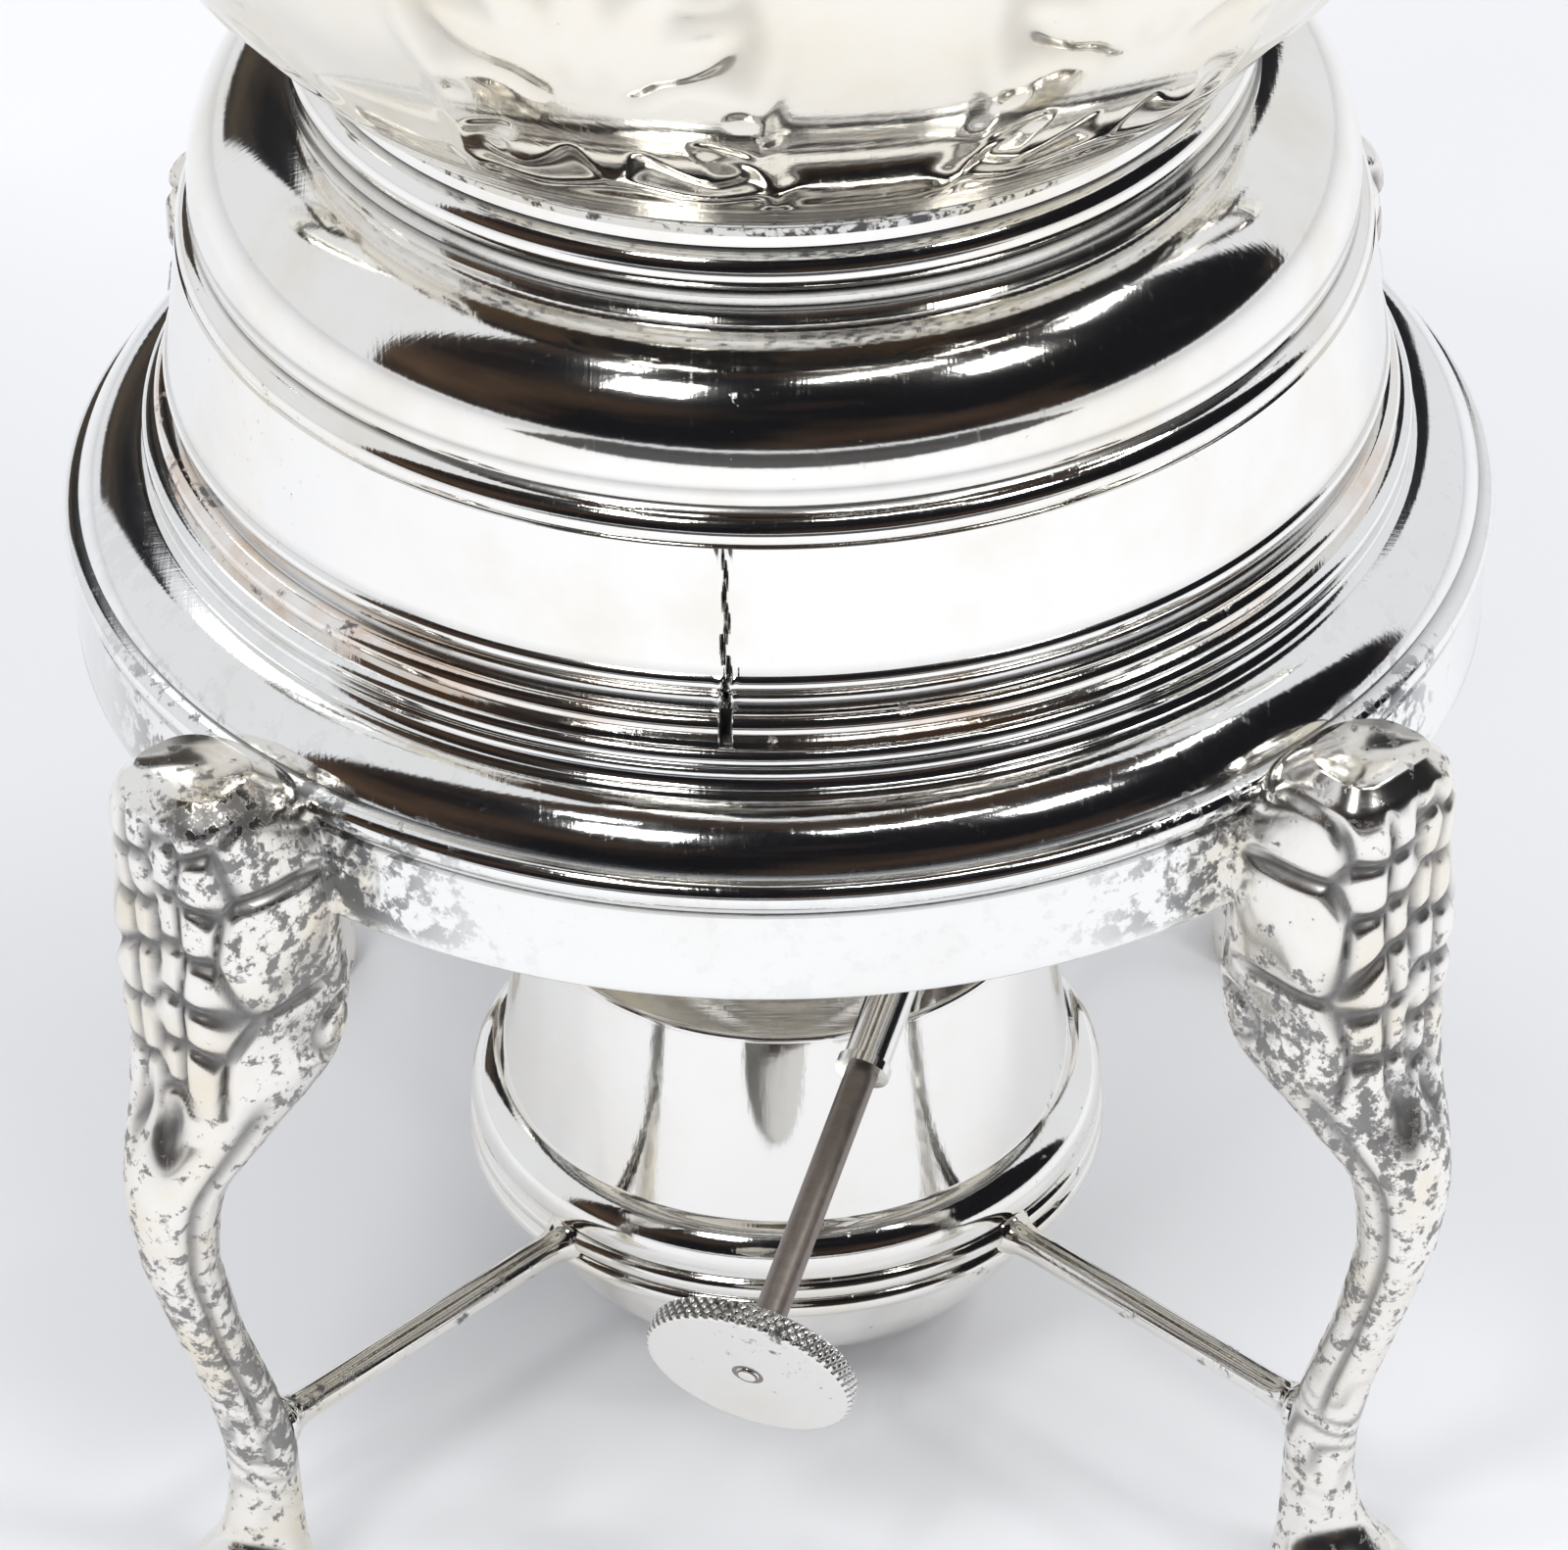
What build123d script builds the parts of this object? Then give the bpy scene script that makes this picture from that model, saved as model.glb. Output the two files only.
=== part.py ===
from build123d import *
from math import atan2, cos, degrees, hypot, radians, sin, sqrt
import os

# A silver-plated hot-water urn on a four-legged stand with a spirit burner.
# Millimetres. The origin is on the floor, on the upright axis of the stand.
# The burner's knob faces -Y, the tap faces +Y and the handles are at +X and -X.

# Stand
leg_height = 103.2          # floor to the skirt's lower edge
skirt_radius = 81.6
skirt_height = 11.6
skirt_wall = 1.4
bead_stand_out = 0.9        # how far the rim bead stands out of the skirt
bead_height = 3.6
groove_height = 0.7
dome_rise = 5.6
dome_run = 7.4
cove_rise = 2.6
land_rise = 2.2
land_run = 1.6
ring_width = 16.1           # skirt to the open centre, where the urn's lip drops in
ring_lip_depth = 4.0

# Cast legs
leg_angle = 45.0
knee_stand_out = 5.9        # skirt to the middle of the knee
knee_half_width = 11.6
knee_half_depth = 11.2
knee_top_above_skirt = 20.4
knee_below_skirt = 18.0
calf_below_knee = 21.0
calf_stand_out = 16.4
calf_half_width = 5.0
ankle_stand_out = 5.0
ankle_half_width = 4.1
foot_stand_out = 10.4
foot_half_width = 9.5
foot_half_length = 10.6
foot_height = 11.0

# Burner holder
rod_height = 26.0
rod_radius = 1.85
holder_top = 28.0
holder_height = 5.4
holder_radius = 38.5
holder_bore_radius = 36.4
holder_bead = 0.8
holder_lift_gap = 0.3       # side play of the burner in the holder

# Burner
burner_floor = 3.0
burner_floor_radius = 17.5
burner_bulge_radius = 38.2
burner_wall = 0.9
shoulder_height = 6.6       # holder's top to the foot of the pot wall
pot_foot_radius = 34.6
pot_top_radius = 31.0
pot_height = 23.7
cover_thickness = 1.0
cover_rise = 2.4
cover_flat_radius = 21.0
wick_tube_radius = 15.6
wick_tube_wall = 0.8
wick_tube_stand = 16.0      # above the cover
wick_tube_drop = 30.0       # below the cover
wick_stand = 2.8
wick_side_gap = 0.4

# Flame sleeve, its wheel and the knob
sleeve_gap = 0.3
sleeve_wall = 0.8
sleeve_height = 11.0
sleeve_cover_gap = 0.3
strip_width = 7.0
strip_stand_out = 1.4       # from the sleeve to the strip's flat face
wheel_radius = 3.3
wheel_width = 3.0
wheel_gap = 0.1
spindle_radius = 1.9
spindle_fit = 0.05
spindle_slope = 22.6        # degrees below level, towards the knob
spindle_plan_angle = 248.9  # degrees from +X in plan, towards the knob
spindle_height = 71.6       # at the wheel
spindle_reach = 75.0        # wheel to the knob's face
spindle_tail = 8.0
ferrule_radius = 2.75
ferrule_start = 12.0        # from the wheel
ferrule_length = 22.0
ferrule_lip = 0.5
ferrule_lip_length = 1.2
saddle_width = 4.0
saddle_length = 6.0
saddle_place = 15.0         # from the wheel to the saddle's middle
bearing_width = 5.0
bearing_thickness = 2.4
bearing_place = 4.6         # from the wheel, away from the knob
knob_radius = 12.4
knob_thickness = 3.0
knob_edge_round = 0.35
rivet_radius = 1.3
rivet_height = 0.3

# Urn base
urn_lip_gap = 0.5
urn_lip_depth = 6.0
urn_lip_wall = 1.2
flange_in = 10.6            # skirt to the flange's edge
flange_height = 3.3
flange_round = 1.1
band_cove_in = 2.0          # the next four are from the flange's edge
band_foot_height = 4.6
band_bead_in = 1.1
band_foot_in = 1.5
band_top_in = 3.2
band_height = 15.4
sheet_wall = 1.3
seam_angle = -94.9          # degrees from +X, the soldered seam at the front
seam_width = 0.4
notch_width = 1.2

# Urn foot
foot_bead_out = 0.5
foot_bead_height = 3.4
foot_groove_in = 5.2        # the next two are from the flange's edge
foot_groove_height = 1.0
foot_step_in = 4.9
foot_step_height = 2.0
foot_dome_height = 14.6
foot_dome_top_radius = 54.4
foot_dome_bulge = 3.6
foot_ring_out = 0.9
foot_ring_height = 2.6
foot_waist_radius = 51.6
foot_waist_height = 4.2
foot_cap_radius = 54.2
foot_cap_height = 2.3

# Vessel
collar_height = 5.0
collar_foot_radius = 53.6
body_radius = 84.5
body_foot_radius = 58.5
vessel_wall = 1.4
shoulder_rise = 58.0        # the body's middle to the neck joint
neck_height = 27.0
neck_waist_radius = 45.5
neck_joint_round = 1.6
mouth_radius = 50.0
mouth_lip_height = 2.6

# Lid
lid_lip_gap = 0.4
lid_lip_depth = 6.0
lid_edge_height = 2.4
lid_edge_out = 2.0
lid_dome_height = 24.0
lid_dome_top_radius = 9.0
lid_dome_bulge = 5.0
stud_radius = 2.0
insulator_radius = 8.2
insulator_height = 3.2
finial_height = 26.0
finial_radius = 9.6
lid_nut_across = 8.0
lid_nut_height = 3.2

# Side handles
handle_upper_angle = 30.0   # above level, from the body's middle
handle_lower_angle = -24.0
handle_socket_radius = 7.0
handle_socket_length = 5.0
handle_insulator_radius = 6.0
handle_insulator_length = 3.0
handle_grip_radius = 4.2
handle_stand_off = 33.0     # body to the grip's middle line
handle_bend = 14.0
handle_bow_bend = 60.0
handle_bow = 5.0            # how far the grip's middle stands out past its bends
handle_bow_height = 8.0

# Tap
tap_drop = 36.0             # body's middle to the tap's axis
rosette_radius = 13.5
rosette_edge = 1.2          # thickness left at its thin upper edge
rosette_depth = 16.0
tap_tube_radius = 5.4
tap_bore_radius = 3.4
tap_tube_length = 18.4      # rosette to the barrel's axis
barrel_radius = 8.6
barrel_height = 25.0
plug_top_radius = 6.0
plug_bottom_radius = 4.8
plug_fit = 0.05
plug_head_height = 3.0
plug_head_radius = 7.4
plug_stem_radius = 3.0
plug_stem_height = 9.0
plug_stub_radius = 2.2
plug_stub_length = 7.5
tap_washer_radius = 6.6
tap_washer_thickness = 1.2
tap_nut_across = 8.0
tap_nut_height = 3.6
key_half_span = 12.5
key_bar_radius = 2.4
key_ball_radius = 4.2
key_hub_radius = 5.2
key_hub_height = 7.0
spout_reach = 19.0          # barrel's axis to the outlet's axis
spout_drop = 24.0
spout_bend = 9.0
spout_nose_radius = 6.6
spout_nose_height = 5.0
shank_length = 9.0          # inside the vessel wall
shank_nut_across = 17.0
shank_nut_thickness = 4.0


def outline(start, *steps):
    """Face from a closed outline. A step is a point, or the middle and end points of an arc."""
    edges = []
    here = start
    for step in steps:
        if isinstance(step[0], tuple):
            middle, end = step
            edges.append(ThreePointArc(here, middle, end))
        else:
            end = step
            edges.append(Line(here, end))
        here = end
    if here != start:
        edges.append(Line(here, start))
    return make_face(edges)


def turned(face):
    """Solid turned about the upright axis from a face drawn as radius and height."""
    return revolve(Plane.XZ * face, Axis.Z, 360)


def inset(points, wall):
    """The same run of points moved towards the axis by the wall, mitred at each corner."""
    moved = []
    last = len(points) - 1
    for place, (radius, height) in enumerate(points):
        normals = []
        for first, second in ((place - 1, place), (place, place + 1)):
            if first < 0 or second > last:
                continue
            run = points[second][0] - points[first][0]
            rise = points[second][1] - points[first][1]
            length = hypot(run, rise)
            normals.append((-rise / length, run / length))
        across = sum(n[0] for n in normals)
        up = sum(n[1] for n in normals)
        size = hypot(across, up)
        along = (across * normals[0][0] + up * normals[0][1]) / size
        moved.append((radius + wall * across / size / along, height + wall * up / size / along))
    return moved


def bulge(first, second, height):
    """Middle point of an arc that stands out from the chord, away from the axis."""
    run = second[0] - first[0]
    rise = second[1] - first[1]
    length = hypot(run, rise)
    middle_r = (first[0] + second[0]) / 2 + height * rise / length
    middle_z = (first[1] + second[1]) / 2 - height * run / length
    return (middle_r, middle_z)


def placed(shape, angle):
    """The shape turned about the upright axis."""
    return Rot(0, 0, angle) * shape


def hexagon_nut(across, height, bore):
    """Six-sided nut standing on the plane z = 0."""
    return extrude(RegularPolygon(across / 2, 6, major_radius=False) - Circle(bore), height)


def write(shape, node):
    """Write one node's file."""
    export_step(shape, "parts/" + node + ".step")


# Radii and heights that follow from the driving sizes
ring_mouth_radius = skirt_radius - ring_width
knee_radius = skirt_radius + knee_stand_out
calf_radius = skirt_radius + calf_stand_out
ankle_radius = skirt_radius + ankle_stand_out
foot_radius = skirt_radius + foot_stand_out
flange_radius = skirt_radius - flange_in
band_cove_radius = flange_radius - band_cove_in
band_bead_radius = flange_radius - band_bead_in
band_foot_radius = flange_radius - band_foot_in
band_top_radius = flange_radius - band_top_in
foot_groove_radius = flange_radius - foot_groove_in
foot_step_radius = flange_radius - foot_step_in
skirt_top = leg_height + skirt_height
bead_bottom = skirt_top + groove_height
bead_top = bead_bottom + bead_height
dome_foot = bead_top + groove_height
dome_top = dome_foot + dome_rise
cove_top = dome_top + cove_rise
ring_top = cove_top + land_rise
flange_top = ring_top + flange_height
band_foot = flange_top + band_foot_height
band_top = band_foot + band_height
foot_bead_top = band_top + foot_bead_height
foot_groove_top = foot_bead_top + foot_groove_height
foot_step_top = foot_groove_top + foot_step_height
foot_dome_top = foot_step_top + foot_dome_height
foot_ring_top = foot_dome_top + foot_ring_height
foot_waist_top = foot_ring_top + foot_waist_height
foot_top = foot_waist_top + foot_cap_height
vessel_bottom = foot_top + collar_height
body_middle = vessel_bottom + sqrt(body_radius ** 2 - body_foot_radius ** 2)
neck_foot = body_middle + shoulder_rise
neck_foot_radius = sqrt(body_radius ** 2 - shoulder_rise ** 2)
mouth_top = neck_foot + neck_height
lid_edge_top = mouth_top + lid_edge_height
lid_top = lid_edge_top + lid_dome_height
tap_height = body_middle - tap_drop
pot_foot = holder_top + shoulder_height
pot_top = pot_foot + pot_height
cover_top = pot_top + cover_rise


def stand_ring():
    """Spun flange and skirt with a rim bead, a dome and a stepped land that carries the urn."""
    dome_radius = skirt_radius - 1.0
    dome_end = dome_radius - dome_run
    land_radius = dome_end - land_run
    keys = [(skirt_radius, leg_height), (skirt_radius, skirt_top), (skirt_radius - groove_height, bead_bottom),
            (skirt_radius - groove_height, bead_top), (dome_radius, dome_foot), (dome_end, dome_top),
            (dome_end - groove_height, cove_top), (land_radius, ring_top)]
    inner = inset(keys[:-1], skirt_wall)
    bead_middle = (skirt_radius + bead_stand_out, (bead_bottom + bead_top) / 2)
    cove_end = (dome_end - groove_height, cove_top)
    lip_wall_radius = ring_mouth_radius + skirt_wall
    lip_low = ring_top - ring_lip_depth
    return turned(outline(
        keys[0], keys[1], keys[2], (bead_middle, keys[3]), keys[4],
        (bulge(keys[4], keys[5], 1.4), keys[5]),
        (bulge(keys[5], cove_end, -0.5), cove_end),
        (bulge(cove_end, keys[7], 0.7), keys[7]),
        (ring_mouth_radius, ring_top), (ring_mouth_radius, lip_low),
        (lip_wall_radius, lip_low), (lip_wall_radius, ring_top - skirt_wall),
        (inner[-1][0] - land_run, ring_top - skirt_wall), *reversed(inner)))


def leg():
    """Cast leg at +X: a broad knee that wraps the ring's edge, an S-shaped shank and a pad foot."""
    knee_top = leg_height + knee_top_above_skirt
    knee_middle = leg_height + 0.3 * knee_top_above_skirt
    knee_bottom = leg_height - knee_below_skirt
    calf_height = knee_bottom - calf_below_knee
    shin_height = (calf_height + rod_height) / 2
    ankle_height = foot_height + 7.0
    shin_radius = (calf_radius + ankle_radius) / 2
    sections = [
        (knee_top, knee_radius + 3.4, 0.5 * knee_half_depth, 0.55 * knee_half_width),
        (knee_top - 5.0, knee_radius + 1.6, 0.88 * knee_half_depth, 0.92 * knee_half_width),
        (knee_middle, knee_radius, knee_half_depth, knee_half_width),
        (leg_height - 6.0, knee_radius - 0.8, 0.95 * knee_half_depth, 0.95 * knee_half_width),
        (knee_bottom, knee_radius + 1.0, 0.84 * knee_half_depth, 0.82 * knee_half_width),
        (knee_bottom - 9.0, (knee_radius + calf_radius) / 2 + 1.0, 1.5 * calf_half_width, 1.45 * calf_half_width),
        (knee_bottom - 16.0, calf_radius - 0.6, 1.12 * calf_half_width, 1.1 * calf_half_width),
        (calf_height, calf_radius, calf_half_width, calf_half_width),
        (shin_height + 3.0, shin_radius + 1.0, 0.8 * calf_half_width, 0.76 * calf_half_width),
        (rod_height + 6.0, ankle_radius + 2.0, ankle_half_width, ankle_half_width),
        (ankle_height, ankle_radius, ankle_half_width, ankle_half_width),
        (foot_height, ankle_radius + 1.6, 1.35 * ankle_half_width, 1.35 * ankle_half_width),
        (0.45 * foot_height, foot_radius, 0.92 * foot_half_length, 0.92 * foot_half_width),
        (0.0, foot_radius, foot_half_length, foot_half_width)]
    faces = [Pos(radius, 0, height) * Ellipse(depth, width) for height, radius, depth, width in sections]
    return loft(faces) - ring_fill


def ring_fill_solid():
    """Everything inside the ring's outer surface, from the skirt's edge to the dome."""
    dome_radius = skirt_radius - 1.0
    dome_end = dome_radius - dome_run
    land_radius = dome_end - land_run
    bead_middle = (skirt_radius + bead_stand_out, (bead_bottom + bead_top) / 2)
    bead_foot = (skirt_radius - groove_height, bead_bottom)
    bead_end = (skirt_radius - groove_height, bead_top)
    dome_start = (dome_radius, dome_foot)
    dome_finish = (dome_end, dome_top)
    return turned(outline(
        (0.0, leg_height), (skirt_radius, leg_height), (skirt_radius, skirt_top), bead_foot,
        (bead_middle, bead_end), dome_start, (bulge(dome_start, dome_finish, 1.4), dome_finish),
        (land_radius, ring_top), (0.0, ring_top)))


def holder_ring():
    """Moulded ring that the burner drops into."""
    bottom = holder_top - holder_height
    middle = holder_top - holder_height / 2
    edge = holder_radius - holder_bead
    return turned(outline(
        (holder_bore_radius, bottom), (edge, bottom),
        ((holder_radius, (bottom + middle) / 2), (edge, middle)),
        ((holder_radius, (holder_top + middle) / 2), (edge, holder_top)),
        (holder_bore_radius, holder_top)))


def holder_arm(ankle):
    """Round rod at +X from the holder ring to the leg's ankle."""
    start = holder_bore_radius + 0.5
    rod = Pos(start, 0, rod_height) * Rot(0, 90, 0) * Cylinder(
        rod_radius, ankle_radius + 2.0 - start, align=(Align.CENTER, Align.CENTER, Align.MIN))
    return rod - holder - ankle


def burner_reservoir():
    """Spun spirit reservoir: a round-bottomed bowl, a rolled shoulder and a tapered pot."""
    seat_radius = holder_bore_radius - holder_lift_gap
    floor_out = (burner_floor_radius, burner_floor)
    seat_low = (seat_radius, holder_top)
    seat = (holder_radius - holder_bead, holder_top)
    shoulder_top = (pot_foot_radius, pot_foot)
    bowl_middle = bulge(floor_out, seat_low, 5.0)
    shoulder_middle = (burner_bulge_radius, holder_top + 0.4 * shoulder_height)
    inner_floor = (burner_floor_radius, burner_floor + burner_wall)
    inner_seat = (seat_radius - burner_wall, holder_top)
    inner_shoulder = (pot_foot_radius - burner_wall, pot_foot)
    return turned(outline(
        (0.0, burner_floor), floor_out, (bowl_middle, seat_low), seat,
        (shoulder_middle, shoulder_top), (pot_top_radius, pot_top),
        (pot_top_radius - burner_wall, pot_top), inner_shoulder, inner_seat,
        (bulge(inner_floor, inner_seat, 4.6), inner_floor), (0.0, burner_floor + burner_wall)))


def burner_cover():
    """Low coned cover with the wick tube's hole, closing the pot."""
    return turned(outline(
        (wick_tube_radius, cover_top), (cover_flat_radius, cover_top), (pot_top_radius, pot_top + 0.6),
        (pot_top_radius, pot_top), (cover_flat_radius, cover_top - cover_thickness),
        (wick_tube_radius, cover_top - cover_thickness)))


def wick_tube():
    """Round tube that holds the wick, soldered through the cover."""
    height = wick_tube_stand + wick_tube_drop
    tube = Cylinder(wick_tube_radius, height) - Cylinder(wick_tube_radius - wick_tube_wall, height)
    return Pos(0, 0, cover_top + wick_tube_stand - height / 2) * tube


def wick():
    """Thick round cotton wick, crowned at the top."""
    radius = wick_tube_radius - wick_tube_wall - wick_side_gap
    top = cover_top + wick_tube_stand
    bottom = burner_floor + burner_wall + 2.0
    crown = top + wick_stand
    edge = (radius, top)
    crown_edge = (radius - 1.5 * wick_stand, crown)
    return turned(outline((0.0, bottom), (radius, bottom), edge, (bulge(edge, crown_edge, 0.8), crown_edge),
                          (0.0, crown)))


# Axis of the spindle: level and steep parts of its direction towards the knob
slope = radians(spindle_slope)
plan = radians(spindle_plan_angle)
toward_knob = Vector(cos(slope) * cos(plan), cos(slope) * sin(plan), -sin(slope))
outward = Vector(-sin(plan), cos(plan), 0)
sleeve_outer = wick_tube_radius + sleeve_gap + sleeve_wall
strip_face = sleeve_outer + strip_stand_out
wheel_place = strip_face + wheel_gap + wheel_radius
wheel_centre = Vector(outward.X * wheel_place, outward.Y * wheel_place, spindle_height)


def along_spindle(shape, distance):
    """Shape drawn along +Z, laid along the spindle from a distance past the wheel's middle."""
    start = wheel_centre + toward_knob * distance
    return Plane(origin=(start.X, start.Y, start.Z), x_dir=(outward.X, outward.Y, 0),
                 z_dir=(toward_knob.X, toward_knob.Y, toward_knob.Z)) * shape


def rising(shape):
    """The same shape standing on z = 0."""
    return Pos(0, 0, -shape.bounding_box().min.Z) * shape


def flame_sleeve():
    """Sleeve that slides up round the wick tube, with the flat strip that the wheel runs on."""
    bottom = cover_top + sleeve_cover_gap
    inner = wick_tube_radius + sleeve_gap
    base = (Align.CENTER, Align.CENTER, Align.MIN)
    tube = Cylinder(sleeve_outer, sleeve_height, align=base) - Cylinder(inner, sleeve_height, align=base)
    depth = strip_face - inner - 0.2
    strip = Pos(strip_face - depth / 2, 0, 0) * Box(depth, strip_width, sleeve_height, align=base)
    strip -= Cylinder(inner, sleeve_height, align=base)
    return Pos(0, 0, bottom) * placed(tube + strip, degrees(atan2(outward.Y, outward.X)))


def spindle():
    """Long spindle with the knurled wheel that moves the sleeve."""
    length = spindle_reach + spindle_tail
    rod = along_spindle(rising(Cylinder(spindle_radius, length)), -spindle_tail)
    wheel = along_spindle(Cylinder(wheel_radius, wheel_width), 0)
    rivet = along_spindle(rising(Cylinder(rivet_radius, rivet_height)), spindle_reach)
    return rod + wheel + rivet


def wick_knob():
    """Flat round knob pressed on the spindle's end."""
    disc = rising(Cylinder(knob_radius, knob_thickness))
    disc = chamfer(disc.edges().filter_by(GeomType.CIRCLE), knob_edge_round)
    disc -= Cylinder(spindle_radius, 4 * knob_thickness)
    return along_spindle(disc, spindle_reach - knob_thickness)


def cover_fill():
    """Everything under the cover's outer surface."""
    return turned(outline(
        (0.0, 0.0), (pot_top_radius, 0.0), (pot_top_radius, pot_top + 0.6), (cover_flat_radius, cover_top),
        (0.0, cover_top)))


def spindle_ferrule():
    """Guide tube with a rolled lip, on a saddle soldered to the cover."""
    bore = spindle_radius + spindle_fit
    tube = rising(Cylinder(ferrule_radius, ferrule_length))
    lip = Pos(0, 0, ferrule_length - ferrule_lip_length) * rising(
        Cylinder(ferrule_radius + ferrule_lip, ferrule_lip_length))
    body = along_spindle(tube + lip, ferrule_start)
    middle = wheel_centre + toward_knob * saddle_place
    saddle = Pos(middle.X, middle.Y, middle.Z) * Rot(0, 0, spindle_plan_angle) * Box(
        saddle_length, saddle_width, 2 * (middle.Z - pot_top), align=(Align.CENTER, Align.CENTER, Align.CENTER))
    saddle -= Pos(middle.X, middle.Y, middle.Z + spindle_height) * Box(
        2 * pot_top_radius, 2 * pot_top_radius, 2 * spindle_height)
    joined = body + (saddle - cover_fill())
    return joined - along_spindle(Cylinder(bore, 8 * ferrule_length), 0)


def spindle_bearing():
    """Upright post on the cover that carries the spindle's inner end."""
    bore = spindle_radius + spindle_fit
    middle = wheel_centre - toward_knob * bearing_place
    top = middle.Z + bearing_width / 2
    post = Pos(middle.X, middle.Y, cover_top) * Rot(0, 0, spindle_plan_angle) * Box(
        bearing_thickness, bearing_width, top - cover_top, align=(Align.CENTER, Align.CENTER, Align.MIN))
    return post - along_spindle(Cylinder(bore, 8 * ferrule_length), 0)


def seam_cut(width, low, high, inner, outer):
    """Upright slot in a ring at the front seam."""
    length = outer - inner
    slot = Pos((inner + outer) / 2, 0, (low + high) / 2) * Box(length, width, high - low)
    return placed(slot, seam_angle)


def base_flange():
    """Turned flange that stands on the ring, with the lip that drops into its mouth."""
    lip = ring_mouth_radius - urn_lip_gap
    lip_inner = lip - urn_lip_wall
    edge_low = (flange_radius, ring_top + 1.0)
    edge_high = (flange_radius - flange_round, flange_top)
    solid = turned(outline(
        (lip_inner, ring_top - urn_lip_depth), (lip, ring_top - urn_lip_depth), (lip, ring_top),
        (flange_radius, ring_top), edge_low, (bulge(edge_low, edge_high, 0.4), edge_high),
        (lip_inner, flange_top)))
    return solid - seam_cut(notch_width, ring_top - 1, flange_top + 1, band_bead_radius - 3.4, flange_radius + 1)


def base_band():
    """Tapered strip bent to a ring and soldered at the front, on a small cove and bead."""
    cove_start = (band_cove_radius, flange_top)
    cove_end = (band_cove_radius + 0.2, band_foot - 2.2)
    bead_end = (band_foot_radius, band_foot)
    keys = [cove_start, cove_end, bead_end, (band_top_radius, band_top)]
    inner = inset(keys, sheet_wall)
    solid = turned(outline(
        cove_start, (bulge(cove_start, cove_end, -0.4), cove_end),
        ((band_bead_radius + 0.1, band_foot - 1.1), bead_end), keys[3],
        (inner[-1][0], band_top), *reversed(inner[1:-1]), (inner[0][0], flange_top)))
    return solid - seam_cut(
        seam_width, flange_top - 1, band_top - 0.8, band_top_radius - 3 * sheet_wall, flange_radius)


def urn_foot():
    """Spun foot: shoulder bead, groove, full dome, small ring, hollow waist and cap bead."""
    start = (band_top_radius - 0.4, band_top)
    bead_end = (foot_groove_radius + 0.4, foot_bead_top)
    groove = (foot_groove_radius, foot_bead_top + 0.5 * foot_groove_height)
    step_start = (foot_step_radius, foot_groove_top)
    step_end = (foot_step_radius, foot_step_top)
    dome_end = (foot_dome_top_radius, foot_dome_top)
    ring_end = (foot_dome_top_radius - 0.8, foot_ring_top)
    cap_start = (foot_cap_radius - 1.4, foot_waist_top)
    cap_end = (foot_cap_radius - 1.0, foot_top)
    keys = [start, bead_end, groove, step_end, dome_end, (foot_waist_radius + 0.4, foot_ring_top),
            (foot_waist_radius, foot_waist_top), (foot_waist_radius, foot_top)]
    inner = inset(keys, sheet_wall)
    return turned(outline(
        start, (bulge(start, bead_end, foot_bead_out + 0.3), bead_end), groove, step_start, step_end,
        (bulge(step_end, dome_end, foot_dome_bulge), dome_end),
        (bulge(dome_end, ring_end, foot_ring_out), ring_end),
        ((foot_waist_radius, (foot_ring_top + foot_waist_top) / 2), cap_start),
        (bulge(cap_start, cap_end, 0.9), cap_end),
        (inner[-1][0], foot_top), *reversed(inner[1:-1]), (inner[0][0], band_top)))


def body_collar():
    """Ring soldered between the foot and the vessel."""
    low = (collar_foot_radius, foot_top)
    high = (body_foot_radius - 0.6, vessel_bottom)
    middle = (body_foot_radius - 0.3, vessel_bottom - 1.4)
    return turned(outline(
        low, (bulge(low, middle, -0.5), middle), high,
        (body_foot_radius - 4 * sheet_wall, vessel_bottom), (collar_foot_radius - 2 * sheet_wall, foot_top)))


def tap_way():
    """Straight hole for the tap's shank, from the vessel's middle outwards along +Y."""
    return Pos(0, 0, tap_height) * Rot(-90, 0, 0) * rising(Cylinder(tap_tube_radius, 2 * body_radius))


def ball(radius):
    """Sphere about the body's middle."""
    return Pos(0, 0, body_middle) * Sphere(radius)


def vessel_lower():
    """Raised lower half of the globular body, with its flat bottom and the tap's hole."""
    inner_radius = body_radius - vessel_wall
    inner_foot = sqrt(inner_radius ** 2 - (body_middle - vessel_bottom - vessel_wall) ** 2)
    drop = body_middle - (vessel_bottom + vessel_wall)
    outer_arc = polar_point(body_radius, 0.5 * atan2(vessel_bottom - body_middle, body_foot_radius))
    inner_arc = polar_point(inner_radius, 0.5 * atan2(-drop, inner_foot))
    solid = turned(outline(
        (0.0, vessel_bottom), (body_foot_radius, vessel_bottom), (outer_arc, (body_radius, body_middle)),
        (inner_radius, body_middle), (inner_arc, (inner_foot, vessel_bottom + vessel_wall)),
        (0.0, vessel_bottom + vessel_wall)))
    return solid - tap_way()


def vessel_upper():
    """Raised upper half of the body, up to the neck joint."""
    inner_radius = body_radius - vessel_wall
    inner_neck = sqrt(inner_radius ** 2 - shoulder_rise ** 2)
    outer_arc = polar_point(body_radius, 0.5 * atan2(shoulder_rise, neck_foot_radius))
    inner_arc = polar_point(inner_radius, 0.5 * atan2(shoulder_rise, inner_neck))
    return turned(outline(
        (body_radius, body_middle), (outer_arc, (neck_foot_radius, neck_foot)), (inner_neck, neck_foot),
        (inner_arc, (inner_radius, body_middle))))


def polar_point(radius, lift):
    """Radius and height of a point on a sphere about the body's middle."""
    return (radius * cos(lift), body_middle + radius * sin(lift))


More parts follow.
